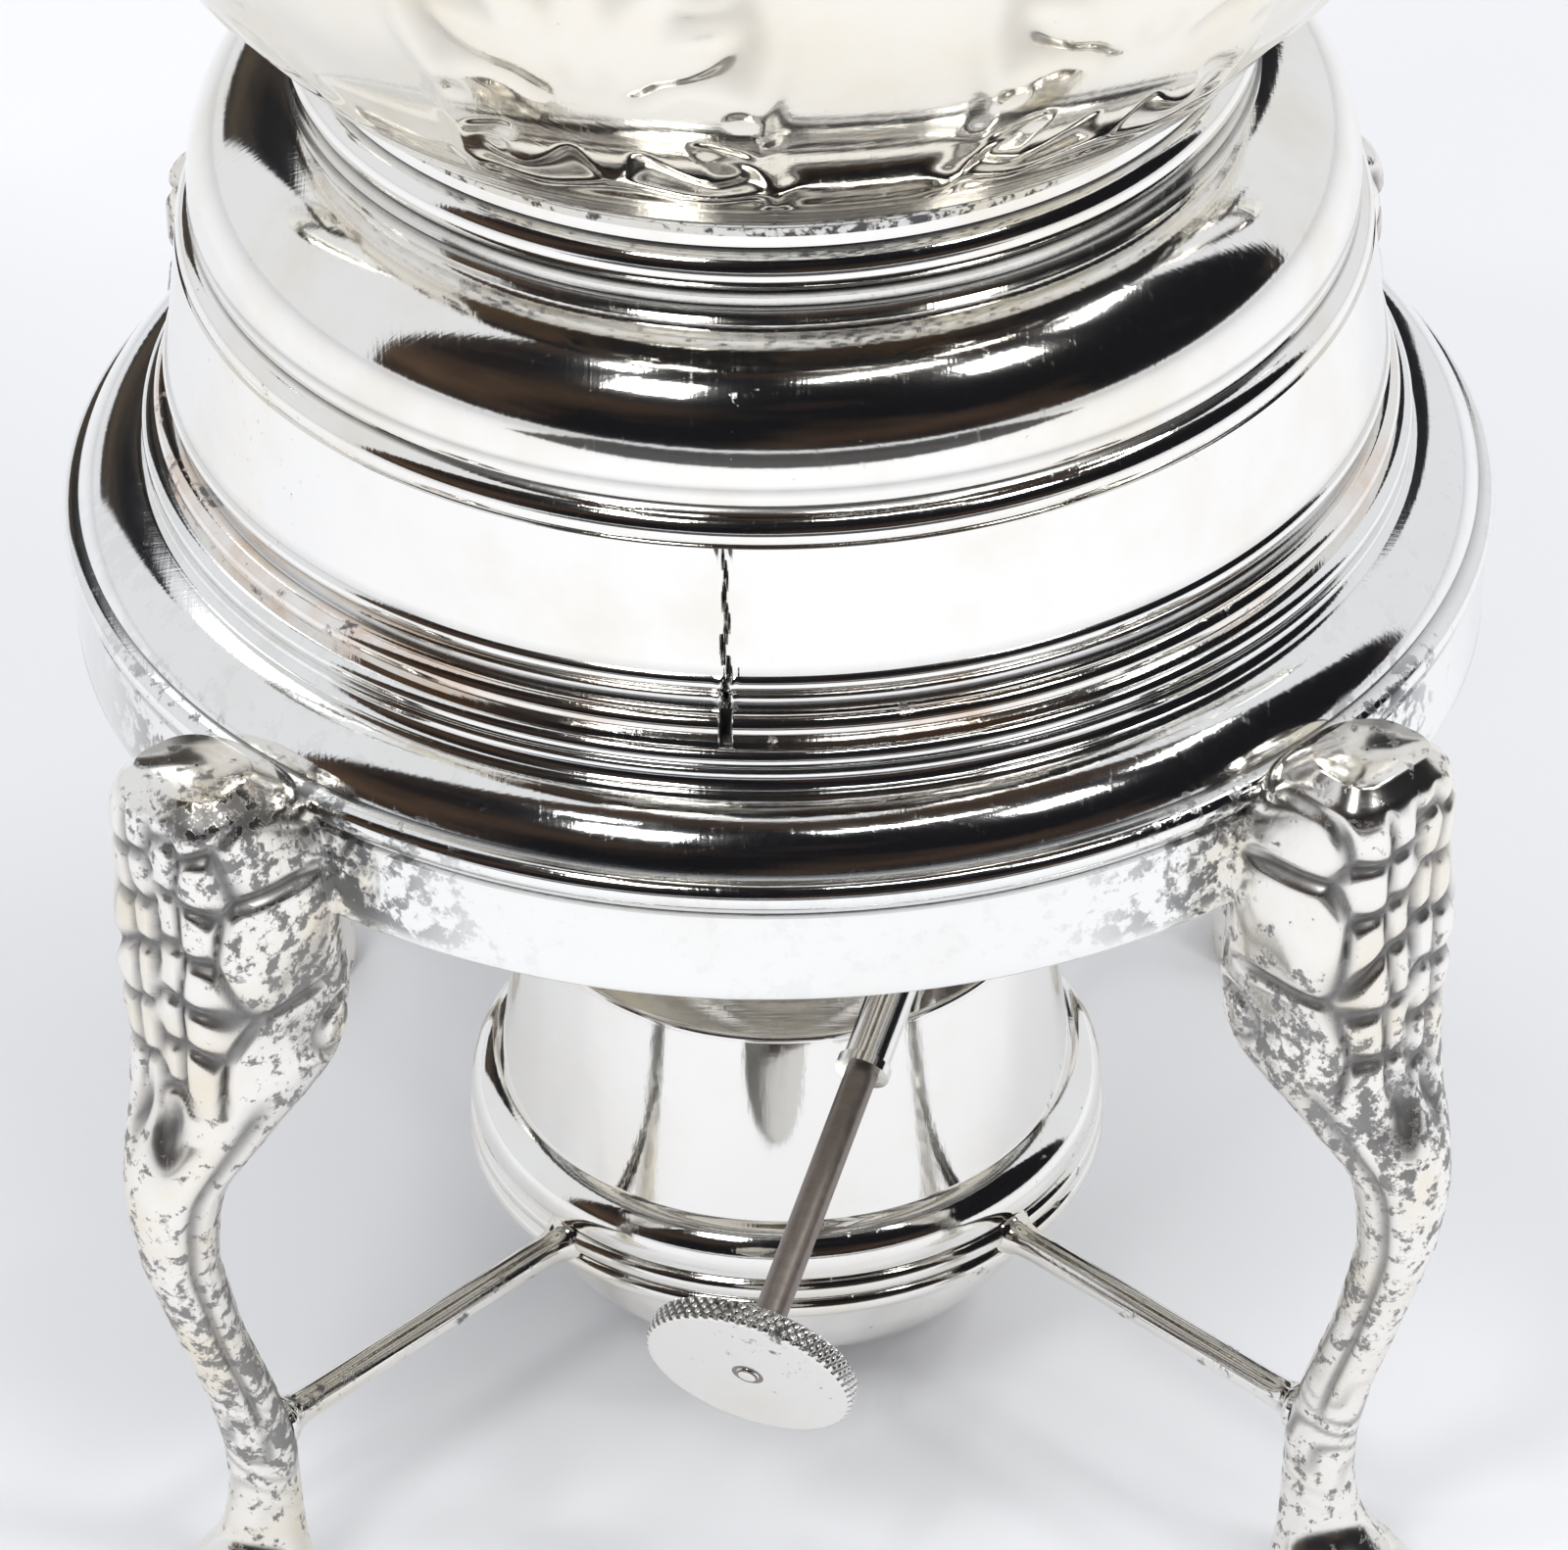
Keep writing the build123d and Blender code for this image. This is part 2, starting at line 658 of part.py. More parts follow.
def vessel_neck():
    """Joint bead, hollow neck and rolled mouth."""
    bead_end = (neck_foot_radius - 1.6, neck_foot + 2 * neck_joint_round)
    lip_start = (mouth_radius - 1.4, mouth_top - mouth_lip_height)
    waist = (neck_waist_radius, neck_foot + 0.55 * neck_height)
    inner_foot = (neck_foot_radius - 1.6 - vessel_wall, neck_foot)
    inner_top = (mouth_radius - 1.4 - vessel_wall, mouth_top)
    inner_waist = (neck_waist_radius - vessel_wall, waist[1])
    start = (neck_foot_radius, neck_foot)
    return turned(outline(
        start, (bulge(start, bead_end, neck_joint_round), bead_end), (waist, lip_start),
        ((mouth_radius + 0.6, mouth_top - mouth_lip_height / 2), (mouth_radius - 0.6, mouth_top)),
        inner_top, (inner_waist, inner_foot)))


def lid():
    """Domed lid with a rolled edge and a lip that drops into the mouth."""
    edge = mouth_radius + lid_edge_out
    lip = neck_waist_radius - vessel_wall - lid_lip_gap
    lip_inner = lip - vessel_wall
    dome_start = (edge - 3.0, lid_edge_top)
    dome_end = (lid_dome_top_radius, lid_top)
    inner_start = (lip_inner, mouth_top)
    inner_end = (lid_dome_top_radius, lid_top - vessel_wall)
    return turned(outline(
        (stud_radius, lid_top), dome_end, (bulge(dome_start, dome_end, lid_dome_bulge), dome_start),
        ((edge, (mouth_top + lid_edge_top) / 2), (edge - 0.8, mouth_top)),
        (lip, mouth_top), (lip, mouth_top - lid_lip_depth), (lip_inner, mouth_top - lid_lip_depth), inner_start,
        (bulge(inner_start, inner_end, lid_dome_bulge - vessel_wall), inner_end),
        (stud_radius, lid_top - vessel_wall)))


def finial():
    """Turned finial with its stud through the insulator and the lid."""
    foot = lid_top + insulator_height
    waist = (0.36 * finial_radius, foot + 0.22 * finial_height)
    shoulder = (0.55 * finial_radius, foot + 0.34 * finial_height)
    stud_end = lid_top - vessel_wall - lid_nut_height - 1.6
    edge = (0.75 * finial_radius, foot)
    ball_end = (0.3 * finial_radius, foot + 0.86 * finial_height)
    tip = (0.08 * finial_radius, foot + finial_height)
    return turned(outline(
        (0.0, stud_end), (stud_radius, stud_end), (stud_radius, foot), edge,
        (bulge(edge, waist, -1.2), waist), shoulder,
        ((finial_radius, foot + 0.58 * finial_height), ball_end), (bulge(ball_end, tip, 0.5), tip),
        (0.0, foot + finial_height)))


def finial_insulator():
    """Disc that keeps the finial cool."""
    top = lid_top + insulator_height
    edge = insulator_radius - 0.8
    return turned(outline(
        (stud_radius, lid_top), (edge, lid_top), ((insulator_radius, (lid_top + top) / 2), (edge, top)),
        (stud_radius, top)))


def handle_direction(angle):
    """Unit vector from the body's middle towards a socket at +X."""
    return Vector(cos(radians(angle)), 0, sin(radians(angle)))


def handle_piece(angle, radius, start, length):
    """Round piece on the body at +X, square to the body's surface."""
    way = handle_direction(angle)
    origin = way * start
    plane = Plane(origin=(origin.X, 0, body_middle + origin.Z), x_dir=(0, 1, 0), z_dir=(way.X, 0, way.Z))
    return plane * rising(Cylinder(radius, length))


def handle_sockets():
    """Upper and lower sockets of one handle, soldered to the body."""
    pieces = [handle_piece(angle, handle_socket_radius, body_radius - 2.0, handle_socket_length + 2.0)
              - ball(body_radius) for angle in (handle_upper_angle, handle_lower_angle)]
    return Compound(children=pieces)


def handle_insulators():
    """Heat-break discs between the sockets and the grip."""
    start = body_radius + handle_socket_length
    return Compound(children=[handle_piece(angle, handle_insulator_radius, start, handle_insulator_length)
                              for angle in (handle_upper_angle, handle_lower_angle)])


def handle_grip():
    """Bowed grip of one handle."""
    start = body_radius + handle_socket_length + handle_insulator_length
    upper = handle_direction(handle_upper_angle)
    lower = handle_direction(handle_lower_angle)
    reach = body_radius + handle_stand_off
    points = [upper * start, upper * reach, Vector(reach + handle_bow, 0, handle_bow_height),
              lower * reach, lower * start]
    corners = [(p.X, 0, body_middle + p.Z) for p in points]
    route = FilletPolyline(*corners, radius=[handle_bend, handle_bow_bend, handle_bend])
    section = Plane(origin=route @ 0, z_dir=route % 0) * Circle(handle_grip_radius)
    return sweep(section, path=route)


def along_y(shape, start):
    """Shape drawn along +Z, laid along +Y at the tap's height."""
    return Pos(0, start, tap_height) * Rot(-90, 0, 0) * shape


wall_at_tap = sqrt(body_radius ** 2 - tap_drop ** 2)
rosette_face = sqrt(body_radius ** 2 - (tap_drop - rosette_radius) ** 2) + rosette_edge
barrel_place = rosette_face + tap_tube_length
outlet_place = barrel_place + spout_reach
barrel_top = tap_height + barrel_height / 2
barrel_bottom = tap_height - barrel_height / 2
outlet_bottom = tap_height - spout_drop


def tap_rosette():
    """Round plate between the tap and the body."""
    disc = along_y(rising(Cylinder(rosette_radius, rosette_depth)), rosette_face - rosette_depth)
    return disc - ball(body_radius) - tap_way()


def plug_cone(extra):
    """Tapered plug, or its bore when extra is the running fit."""
    cone = Cone(plug_bottom_radius + extra, plug_top_radius + extra, barrel_height)
    return Pos(0, barrel_place, tap_height) * cone


def tap_body():
    """Cast tap: shank, tube, upright barrel and bent spout with a nose."""
    shank_start = wall_at_tap - vessel_wall - shank_length
    route = FilletPolyline((0, shank_start, tap_height), (0, outlet_place, tap_height),
                           (0, outlet_place, outlet_bottom), radius=spout_bend)
    start = Plane(origin=route @ 0, z_dir=route % 0)
    pipe = sweep(start * Circle(tap_tube_radius), path=route)
    way = sweep(start * Circle(tap_bore_radius), path=route)
    barrel = Pos(0, barrel_place, tap_height) * Cylinder(barrel_radius, barrel_height)
    nose = Pos(0, outlet_place, outlet_bottom) * rising(Cylinder(spout_nose_radius, spout_nose_height))
    return (pipe + barrel + nose) - way - plug_cone(plug_fit)


def tap_shank_nut():
    """Nut on the shank inside the vessel."""
    start = wall_at_tap - vessel_wall - shank_nut_thickness - 3.4
    nut = hexagon_nut(shank_nut_across, shank_nut_thickness + 3.4, tap_tube_radius)
    return along_y(nut, start) & ball(body_radius - vessel_wall)


def tap_plug():
    """Tapered plug with its cross hole, head, stem and lower stub."""
    head = Pos(0, barrel_place, barrel_top + plug_fit) * rising(Cylinder(plug_head_radius, plug_head_height))
    stem = Pos(0, barrel_place, barrel_top) * rising(
        Cylinder(plug_stem_radius, plug_head_height + plug_stem_height))
    stub = Pos(0, barrel_place, barrel_bottom - plug_stub_length) * rising(
        Cylinder(plug_stub_radius, plug_stub_length + 1.0))
    hole = Pos(0, barrel_place, tap_height) * Rot(0, 90, 0) * Cylinder(tap_bore_radius, 4 * plug_top_radius)
    return plug_cone(0.0) + head + stem + stub - hole


def tap_washer():
    """Washer under the barrel."""
    washer = Cylinder(tap_washer_radius, tap_washer_thickness) - Cylinder(plug_stub_radius, 9.0)
    return Pos(0, barrel_place, barrel_bottom - plug_fit - tap_washer_thickness / 2) * washer


def tap_nut():
    """Nut that draws the plug into its taper."""
    top = barrel_bottom - plug_fit - tap_washer_thickness
    return Pos(0, barrel_place, top - tap_nut_height) * hexagon_nut(tap_nut_across, tap_nut_height, plug_stub_radius)


def tap_key():
    """Cross handle with a ball at each end, across the tap when it is shut."""
    foot = barrel_top + plug_fit + plug_head_height
    hub = Pos(0, barrel_place, foot) * rising(Cylinder(key_hub_radius, key_hub_height))
    bar_height = foot + key_hub_height / 2
    end_flat = key_ball_radius / 4
    end = key_half_span + sqrt(key_ball_radius ** 2 - end_flat ** 2)
    ball_foot = key_half_span - sqrt(key_ball_radius ** 2 - key_bar_radius ** 2)
    bar = turned(outline(
        (0.0, -end), (end_flat, -end),
        ((key_ball_radius, -key_half_span), (key_bar_radius, -ball_foot)), (key_bar_radius, ball_foot),
        ((key_ball_radius, key_half_span), (end_flat, end)), (0.0, end)))
    stem = Pos(0, barrel_place, foot) * Cylinder(plug_stem_radius, 8 * plug_stem_height)
    return hub + Pos(0, barrel_place, bar_height) * Rot(0, 90, 0) * bar - stem


# Stand
ring_fill = ring_fill_solid()
holder = holder_ring()
leg_solid = leg()
arm_solid = holder_arm(leg_solid)
write(stand_ring(), "stand_ring")
write(holder, "holder_ring")
corner_names = ("rear_right", "rear_left", "front_left", "front_right")
for turn, corner in enumerate(corner_names):
    angle = leg_angle + 90.0 * turn
    write(placed(leg_solid, angle), "leg_" + corner)
    write(placed(arm_solid, angle), "arm_" + corner)

# Burner
write(burner_reservoir(), "burner_reservoir")
write(burner_cover(), "burner_cover")
write(wick_tube(), "wick_tube")
write(wick(), "wick")
write(flame_sleeve(), "flame_sleeve")
write(spindle(), "spindle")
write(wick_knob(), "wick_knob")
write(spindle_ferrule(), "spindle_ferrule")
write(spindle_bearing(), "spindle_bearing")

# Urn
write(base_flange(), "urn_base_flange")
write(base_band(), "urn_base_band")
write(urn_foot(), "urn_foot")
write(body_collar(), "body_collar")
write(vessel_lower(), "vessel_lower")
write(vessel_upper(), "vessel_upper")
write(vessel_neck(), "vessel_neck")

# Lid
write(lid(), "lid")
write(finial(), "finial")
write(finial_insulator(), "finial_insulator")
lid_nut_place = lid_top - vessel_wall - lid_nut_height
write(Pos(0, 0, lid_nut_place) * hexagon_nut(lid_nut_across, lid_nut_height, stud_radius), "finial_nut")

# Handles
for side, angle in (("right", 0.0), ("left", 180.0)):
    write(placed(handle_sockets(), angle), "handle_sockets_" + side)
    write(placed(handle_insulators(), angle), "handle_insulators_" + side)
    write(placed(handle_grip(), angle), "handle_grip_" + side)

# Tap
write(tap_rosette(), "tap_rosette")
write(tap_body(), "tap_body")
write(tap_shank_nut(), "tap_shank_nut")
write(tap_plug(), "tap_plug")
write(tap_washer(), "tap_washer")
write(tap_nut(), "tap_nut")
write(tap_key(), "tap_key")
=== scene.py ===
from math import atan2, ceil, cos, hypot, pi, radians, sin, sqrt

import bmesh
import bpy
import numpy as np
from mathutils import Matrix, Vector


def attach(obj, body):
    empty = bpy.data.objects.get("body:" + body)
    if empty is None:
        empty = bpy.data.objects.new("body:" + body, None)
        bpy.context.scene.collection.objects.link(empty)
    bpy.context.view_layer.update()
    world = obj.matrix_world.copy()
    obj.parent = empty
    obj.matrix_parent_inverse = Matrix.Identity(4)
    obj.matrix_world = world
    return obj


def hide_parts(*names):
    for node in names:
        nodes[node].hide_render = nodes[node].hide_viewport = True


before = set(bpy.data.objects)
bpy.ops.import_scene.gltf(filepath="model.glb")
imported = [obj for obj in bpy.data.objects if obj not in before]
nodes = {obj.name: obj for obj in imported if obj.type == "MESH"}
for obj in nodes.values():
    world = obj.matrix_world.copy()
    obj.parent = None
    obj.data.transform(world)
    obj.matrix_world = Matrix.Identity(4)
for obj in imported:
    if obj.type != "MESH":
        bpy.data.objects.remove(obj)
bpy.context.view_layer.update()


# Camera.
# It stands where the photographer stood: in front of the burner's knob, a metre off and
# 36 degrees above the table, with a long lens, tipped a little to one side.
aim = Vector((0.0002, 0.0, 0.0745))
camera_distance = 1.03
camera_tilt = radians(36.0)
camera_roll = radians(-0.77)
sensor_width = 36.0
picture_width = 1600.0
focal_pixels = 8879.0

forward = Vector((0, cos(camera_tilt), -sin(camera_tilt)))
level = Vector((1, 0, 0))
upright = level.cross(forward)
across = level * cos(camera_roll) + upright * sin(camera_roll)
above = upright * cos(camera_roll) - level * sin(camera_roll)
camera_data = bpy.data.cameras.new("photo_camera")
camera_data.sensor_width = sensor_width
camera_data.lens = focal_pixels * sensor_width / picture_width
camera_data.clip_start = 0.05
camera_data.clip_end = 30.0
camera = bpy.data.objects.new("photo_camera", camera_data)
bpy.context.scene.collection.objects.link(camera)
turn = Matrix((across, above, -forward)).transposed().to_4x4()
camera.matrix_world = Matrix.Translation(aim - forward * camera_distance) @ turn
bpy.context.scene.camera = camera
bpy.context.scene.view_settings.view_transform = "Standard"


# Table, pale surroundings and studio lamps.
# The table and the backdrop are near white. Dark cards stand for the unlit room in front
# of and behind the table, which polished silver shows, and the lamps are plain soft boxes.
def material_nodes(name):
    """New material with a Principled shader; returns the material, its nodes, links and shader."""
    made = bpy.data.materials.new(name)
    made.use_nodes = True
    tree = made.node_tree
    shader = next(node for node in tree.nodes if node.type == "BSDF_PRINCIPLED")
    return made, tree.nodes, tree.links, shader


def table_top():
    """Large matt table with faint unevenness of tone."""
    size = 4.0
    mesh = bpy.data.meshes.new("table_top")
    mesh.from_pydata([(-size, -size, 0), (size, -size, 0), (size, size, 0), (-size, size, 0)], [], [(0, 1, 2, 3)])
    table = bpy.data.objects.new("table_top", mesh)
    bpy.context.scene.collection.objects.link(table)
    made, made_nodes, links, shader = material_nodes("table_paper")
    noise = made_nodes.new("ShaderNodeTexNoise")
    noise.inputs["Scale"].default_value = 3.0
    ramp = made_nodes.new("ShaderNodeMix")
    ramp.data_type = "RGBA"
    ramp.inputs[6].default_value = (0.81, 0.812, 0.825, 1)
    ramp.inputs[7].default_value = (0.84, 0.842, 0.853, 1)
    links.new(noise.outputs["Fac"], ramp.inputs[0])
    links.new(ramp.outputs[2], shader.inputs["Base Color"])
    shader.inputs["Roughness"].default_value = 0.6
    shader.inputs["Specular IOR Level"].default_value = 0.2
    mesh.materials.append(made)


def surroundings():
    """Even pale light from all round."""
    world = bpy.data.worlds.new("surroundings")
    world.use_nodes = True
    back = world.node_tree.nodes["Background"]
    back.inputs["Color"].default_value = (0.86, 0.875, 0.91, 1)
    back.inputs["Strength"].default_value = 0.94
    bpy.context.scene.world = world


def dark_card(name, turn_to, half_width, low, high, distance, tone, warm):
    """Curved dark card round part of the table, unseen by the camera itself: a sheet of painted shade for the unlit
    room, which the silver reflects.
    """
    columns, rows = 24, 12
    points = []
    for row in range(rows + 1):
        lift = radians(low + (high - low) * row / rows)
        for column in range(columns + 1):
            angle = radians(turn_to - half_width + 2 * half_width * column / columns)
            points.append((distance * cos(lift) * cos(angle), distance * cos(lift) * sin(angle),
                           distance * sin(lift)))
    faces = []
    for row in range(rows):
        for column in range(columns):
            first = row * (columns + 1) + column
            faces.append((first, first + 1, first + columns + 2, first + columns + 1))
    mesh = bpy.data.meshes.new(name)
    mesh.from_pydata(points, [], faces)
    card = bpy.data.objects.new(name, mesh)
    bpy.context.scene.collection.objects.link(card)
    card.visible_camera = False
    card.visible_shadow = False
    card.visible_diffuse = False
    made, made_nodes, links, shader = material_nodes(name + "_unlit_room")
    noise = made_nodes.new("ShaderNodeTexNoise")
    noise.inputs["Scale"].default_value = 1.6
    noise.inputs["Detail"].default_value = 3.0
    ramp = made_nodes.new("ShaderNodeValToRGB")
    ramp.color_ramp.elements[0].position = 0.45
    ramp.color_ramp.elements[0].color = (*tone, 1)
    ramp.color_ramp.elements[1].position = 0.72
    ramp.color_ramp.elements[1].color = (*warm, 1)
    links.new(noise.outputs["Fac"], ramp.inputs[0])
    links.new(ramp.outputs[0], shader.inputs["Base Color"])
    shader.inputs["Roughness"].default_value = 0.9
    shader.inputs["Specular IOR Level"].default_value = 0.0
    mesh.materials.append(made)


def unlit_floor_sheet():
    """Dark sheet in front of the table's edge, unseen by the camera: painted shade for the unlit floor there, which
    low mouldings show.
    """
    mesh = bpy.data.meshes.new("front_floor")
    mesh.from_pydata([(-1.6, -2.5, 0.002), (1.9, -2.5, 0.002), (0.8, -0.56, 0.002), (-0.62, -0.56, 0.002)],
                     [], [(0, 1, 2, 3)])
    mat = bpy.data.objects.new("front_floor", mesh)
    bpy.context.scene.collection.objects.link(mat)
    mat.visible_camera = False
    mat.visible_diffuse = False
    made, made_nodes, links, shader = material_nodes("front_floor_painted_shade")
    noise = made_nodes.new("ShaderNodeTexNoise")
    noise.inputs["Scale"].default_value = 9.0
    tone = made_nodes.new("ShaderNodeMix")
    tone.data_type = "RGBA"
    tone.inputs[6].default_value = (0.02, 0.02, 0.022, 1)
    tone.inputs[7].default_value = (0.09, 0.085, 0.085, 1)
    links.new(noise.outputs["Fac"], tone.inputs[0])
    links.new(tone.outputs[2], shader.inputs["Base Color"])
    shader.inputs["Roughness"].default_value = 0.9
    mesh.materials.append(made)


def soft_box(name, turn_to, lift, distance, width, height, power):
    """Rectangular lamp aimed at the middle of the object."""
    lamp = bpy.data.lights.new(name, "AREA")
    lamp.shape = "RECTANGLE"
    lamp.size = width
    lamp.size_y = height
    lamp.energy = power
    placed = bpy.data.objects.new(name, lamp)
    way = Vector((cos(radians(lift)) * cos(radians(turn_to)), cos(radians(lift)) * sin(radians(turn_to)),
                  sin(radians(lift))))
    placed.location = aim + way * distance
    placed.rotation_euler = way.to_track_quat("Z", "Y").to_euler()
    bpy.context.scene.collection.objects.link(placed)


table_top()
surroundings()
unlit_floor_sheet()
dark_card("room_front", -75, 92, 3, 80, 2.4, (0.012, 0.012, 0.014), (0.11, 0.07, 0.045))
dark_card("room_back", 100, 34, 10, 40, 2.4, (0.02, 0.02, 0.022), (0.10, 0.08, 0.06))
soft_box("key_box", -118, 50, 1.7, 0.32, 0.32, 6.0)
soft_box("right_box", -38, 50, 1.7, 0.30, 0.24, 5.0)
soft_box("small_box", -134, 62, 1.7, 0.10, 0.10, 1.5)
soft_box("strip_box", -62, 62, 1.7, 0.5, 0.05, 2.5)
soft_box("side_box", 0, 55, 1.7, 0.4, 0.08, 2.5)
soft_box("rear_box", 120, 50, 1.8, 0.6, 0.4, 1.5)


# Stand ring.
# A disc of brass spun to a flat land, a cove, a dome and a beaded rim over a plain skirt,
# then silver plated. The legs are soldered to its edge; the grey beside them is painted shade,
# drawn with the tarnish pattern.
def run(start, *steps, spacing=0.35):
    """Points in millimetres along an outline. A step is a point, or an arc's middle and end."""
    points = [start]
    for step in steps:
        here = points[-1]
        if not isinstance(step[0], tuple):
            pieces = max(1, ceil(hypot(step[0] - here[0], step[1] - here[1]) / (4 * spacing)))
            points += [(here[0] + (step[0] - here[0]) * part / pieces,
                        here[1] + (step[1] - here[1]) * part / pieces) for part in range(1, pieces + 1)]
            continue
        middle, end = step
        first = complex(middle[0] - here[0], middle[1] - here[1])
        second = complex(end[0] - here[0], end[1] - here[1])
        area = first.real * second.imag - first.imag * second.real
        size_first = abs(first) ** 2
        size_second = abs(second) ** 2
        offset = complex(second.imag * size_first - first.imag * size_second,
                         first.real * size_second - second.real * size_first) / (2 * area)
        centre = complex(*here) + offset
        radius = abs(offset)
        begin = atan2(here[1] - centre.imag, here[0] - centre.real)
        finish = atan2(end[1] - centre.imag, end[0] - centre.real)
        sweep = (finish - begin) % (2 * pi)
        if area < 0:
            sweep -= 2 * pi
        pieces = max(3, ceil(abs(sweep) * radius / spacing))
        points += [(centre.real + radius * cos(begin + sweep * part / pieces),
                    centre.imag + radius * sin(begin + sweep * part / pieces)) for part in range(1, pieces + 1)]
    return points


def bulged(first, second, height):
    """An arc step to the second point that stands out from the chord."""
    chord = hypot(second[0] - first[0], second[1] - first[1])
    middle = ((first[0] + second[0]) / 2 + height * (second[1] - first[1]) / chord,
              (first[1] + second[1]) / 2 - height * (second[0] - first[0]) / chord)
    return (middle, second)


def skin(name, grid, loop_rows=True, sharp=35.0, shade_and_tarnish=None):
    """Smooth mesh over a grid of points in millimetres, joined round; rows join too when looped."""
    rows, columns = grid.shape[:2]
    mesh = bpy.data.meshes.new(name)
    index = np.arange(rows * columns).reshape(rows, columns)
    below = index if loop_rows else index[:-1]
    over = np.roll(index, -1, axis=0) if loop_rows else index[1:]
    faces = np.stack([below, np.roll(below, -1, axis=1), np.roll(over, -1, axis=1), over], axis=-1)
    mesh.from_pydata((grid.reshape(-1, 3) * 0.001).tolist(), [], faces.reshape(-1, 4).tolist())
    # Each point's painted shade in recesses, with tarnish on the legs, is kept for the material.
    if shade_and_tarnish is not None:
        layer = mesh.attributes.new("shade_and_tarnish", "FLOAT", "POINT")
        layer.data.foreach_set("value", np.clip(shade_and_tarnish, 0, 1).reshape(-1).astype(np.float32))
    work = bmesh.new()
    work.from_mesh(mesh)
    bmesh.ops.remove_doubles(work, verts=work.verts, dist=2e-6)
    bmesh.ops.recalc_face_normals(work, faces=work.faces)
    work.to_mesh(mesh)
    work.free()
    mesh.polygons.foreach_set("use_smooth", [True] * len(mesh.polygons))
    mesh.set_sharp_from_angle(angle=radians(sharp))
    piece = bpy.data.objects.new(name, mesh)
    bpy.context.scene.collection.objects.link(piece)
    return piece


def turned(name, profile, angles=None, columns=240, relief=None):
    """Lathe-turned piece from a closed profile in millimetres; relief moves points off the profile."""
    profile = np.array(profile)
    if np.allclose(profile[0], profile[-1]):
        profile = profile[:-1]
    if angles is None:
        angles = np.linspace(0, 2 * pi, columns, endpoint=False)
    radius = np.repeat(profile[:, :1], len(angles), axis=1)
    height = np.repeat(profile[:, 1:], len(angles), axis=1)
    around = np.repeat(np.array(angles)[None, :], len(profile), axis=0)
    shade_and_tarnish = None
    if relief is not None:
        # The relief also gives each point's painted shade.
        radius, height, shade_and_tarnish = relief(radius, height, around)
    grid = np.stack([radius * np.cos(around), radius * np.sin(around), height], axis=-1)
    return skin(name, grid, shade_and_tarnish=shade_and_tarnish)


def new_group(name, inputs, outputs):
    """Shader node group with named float and colour sockets."""
    group = bpy.data.node_groups.new(name, "ShaderNodeTree")
    for label, kind, value in inputs:
        socket = group.interface.new_socket(label, in_out="INPUT", socket_type="NodeSocket" + kind)
        socket.default_value = value
    for label, kind in outputs:
        group.interface.new_socket(label, in_out="OUTPUT", socket_type="NodeSocket" + kind)
    return group, group.nodes.new("NodeGroupInput"), group.nodes.new("NodeGroupOutput")


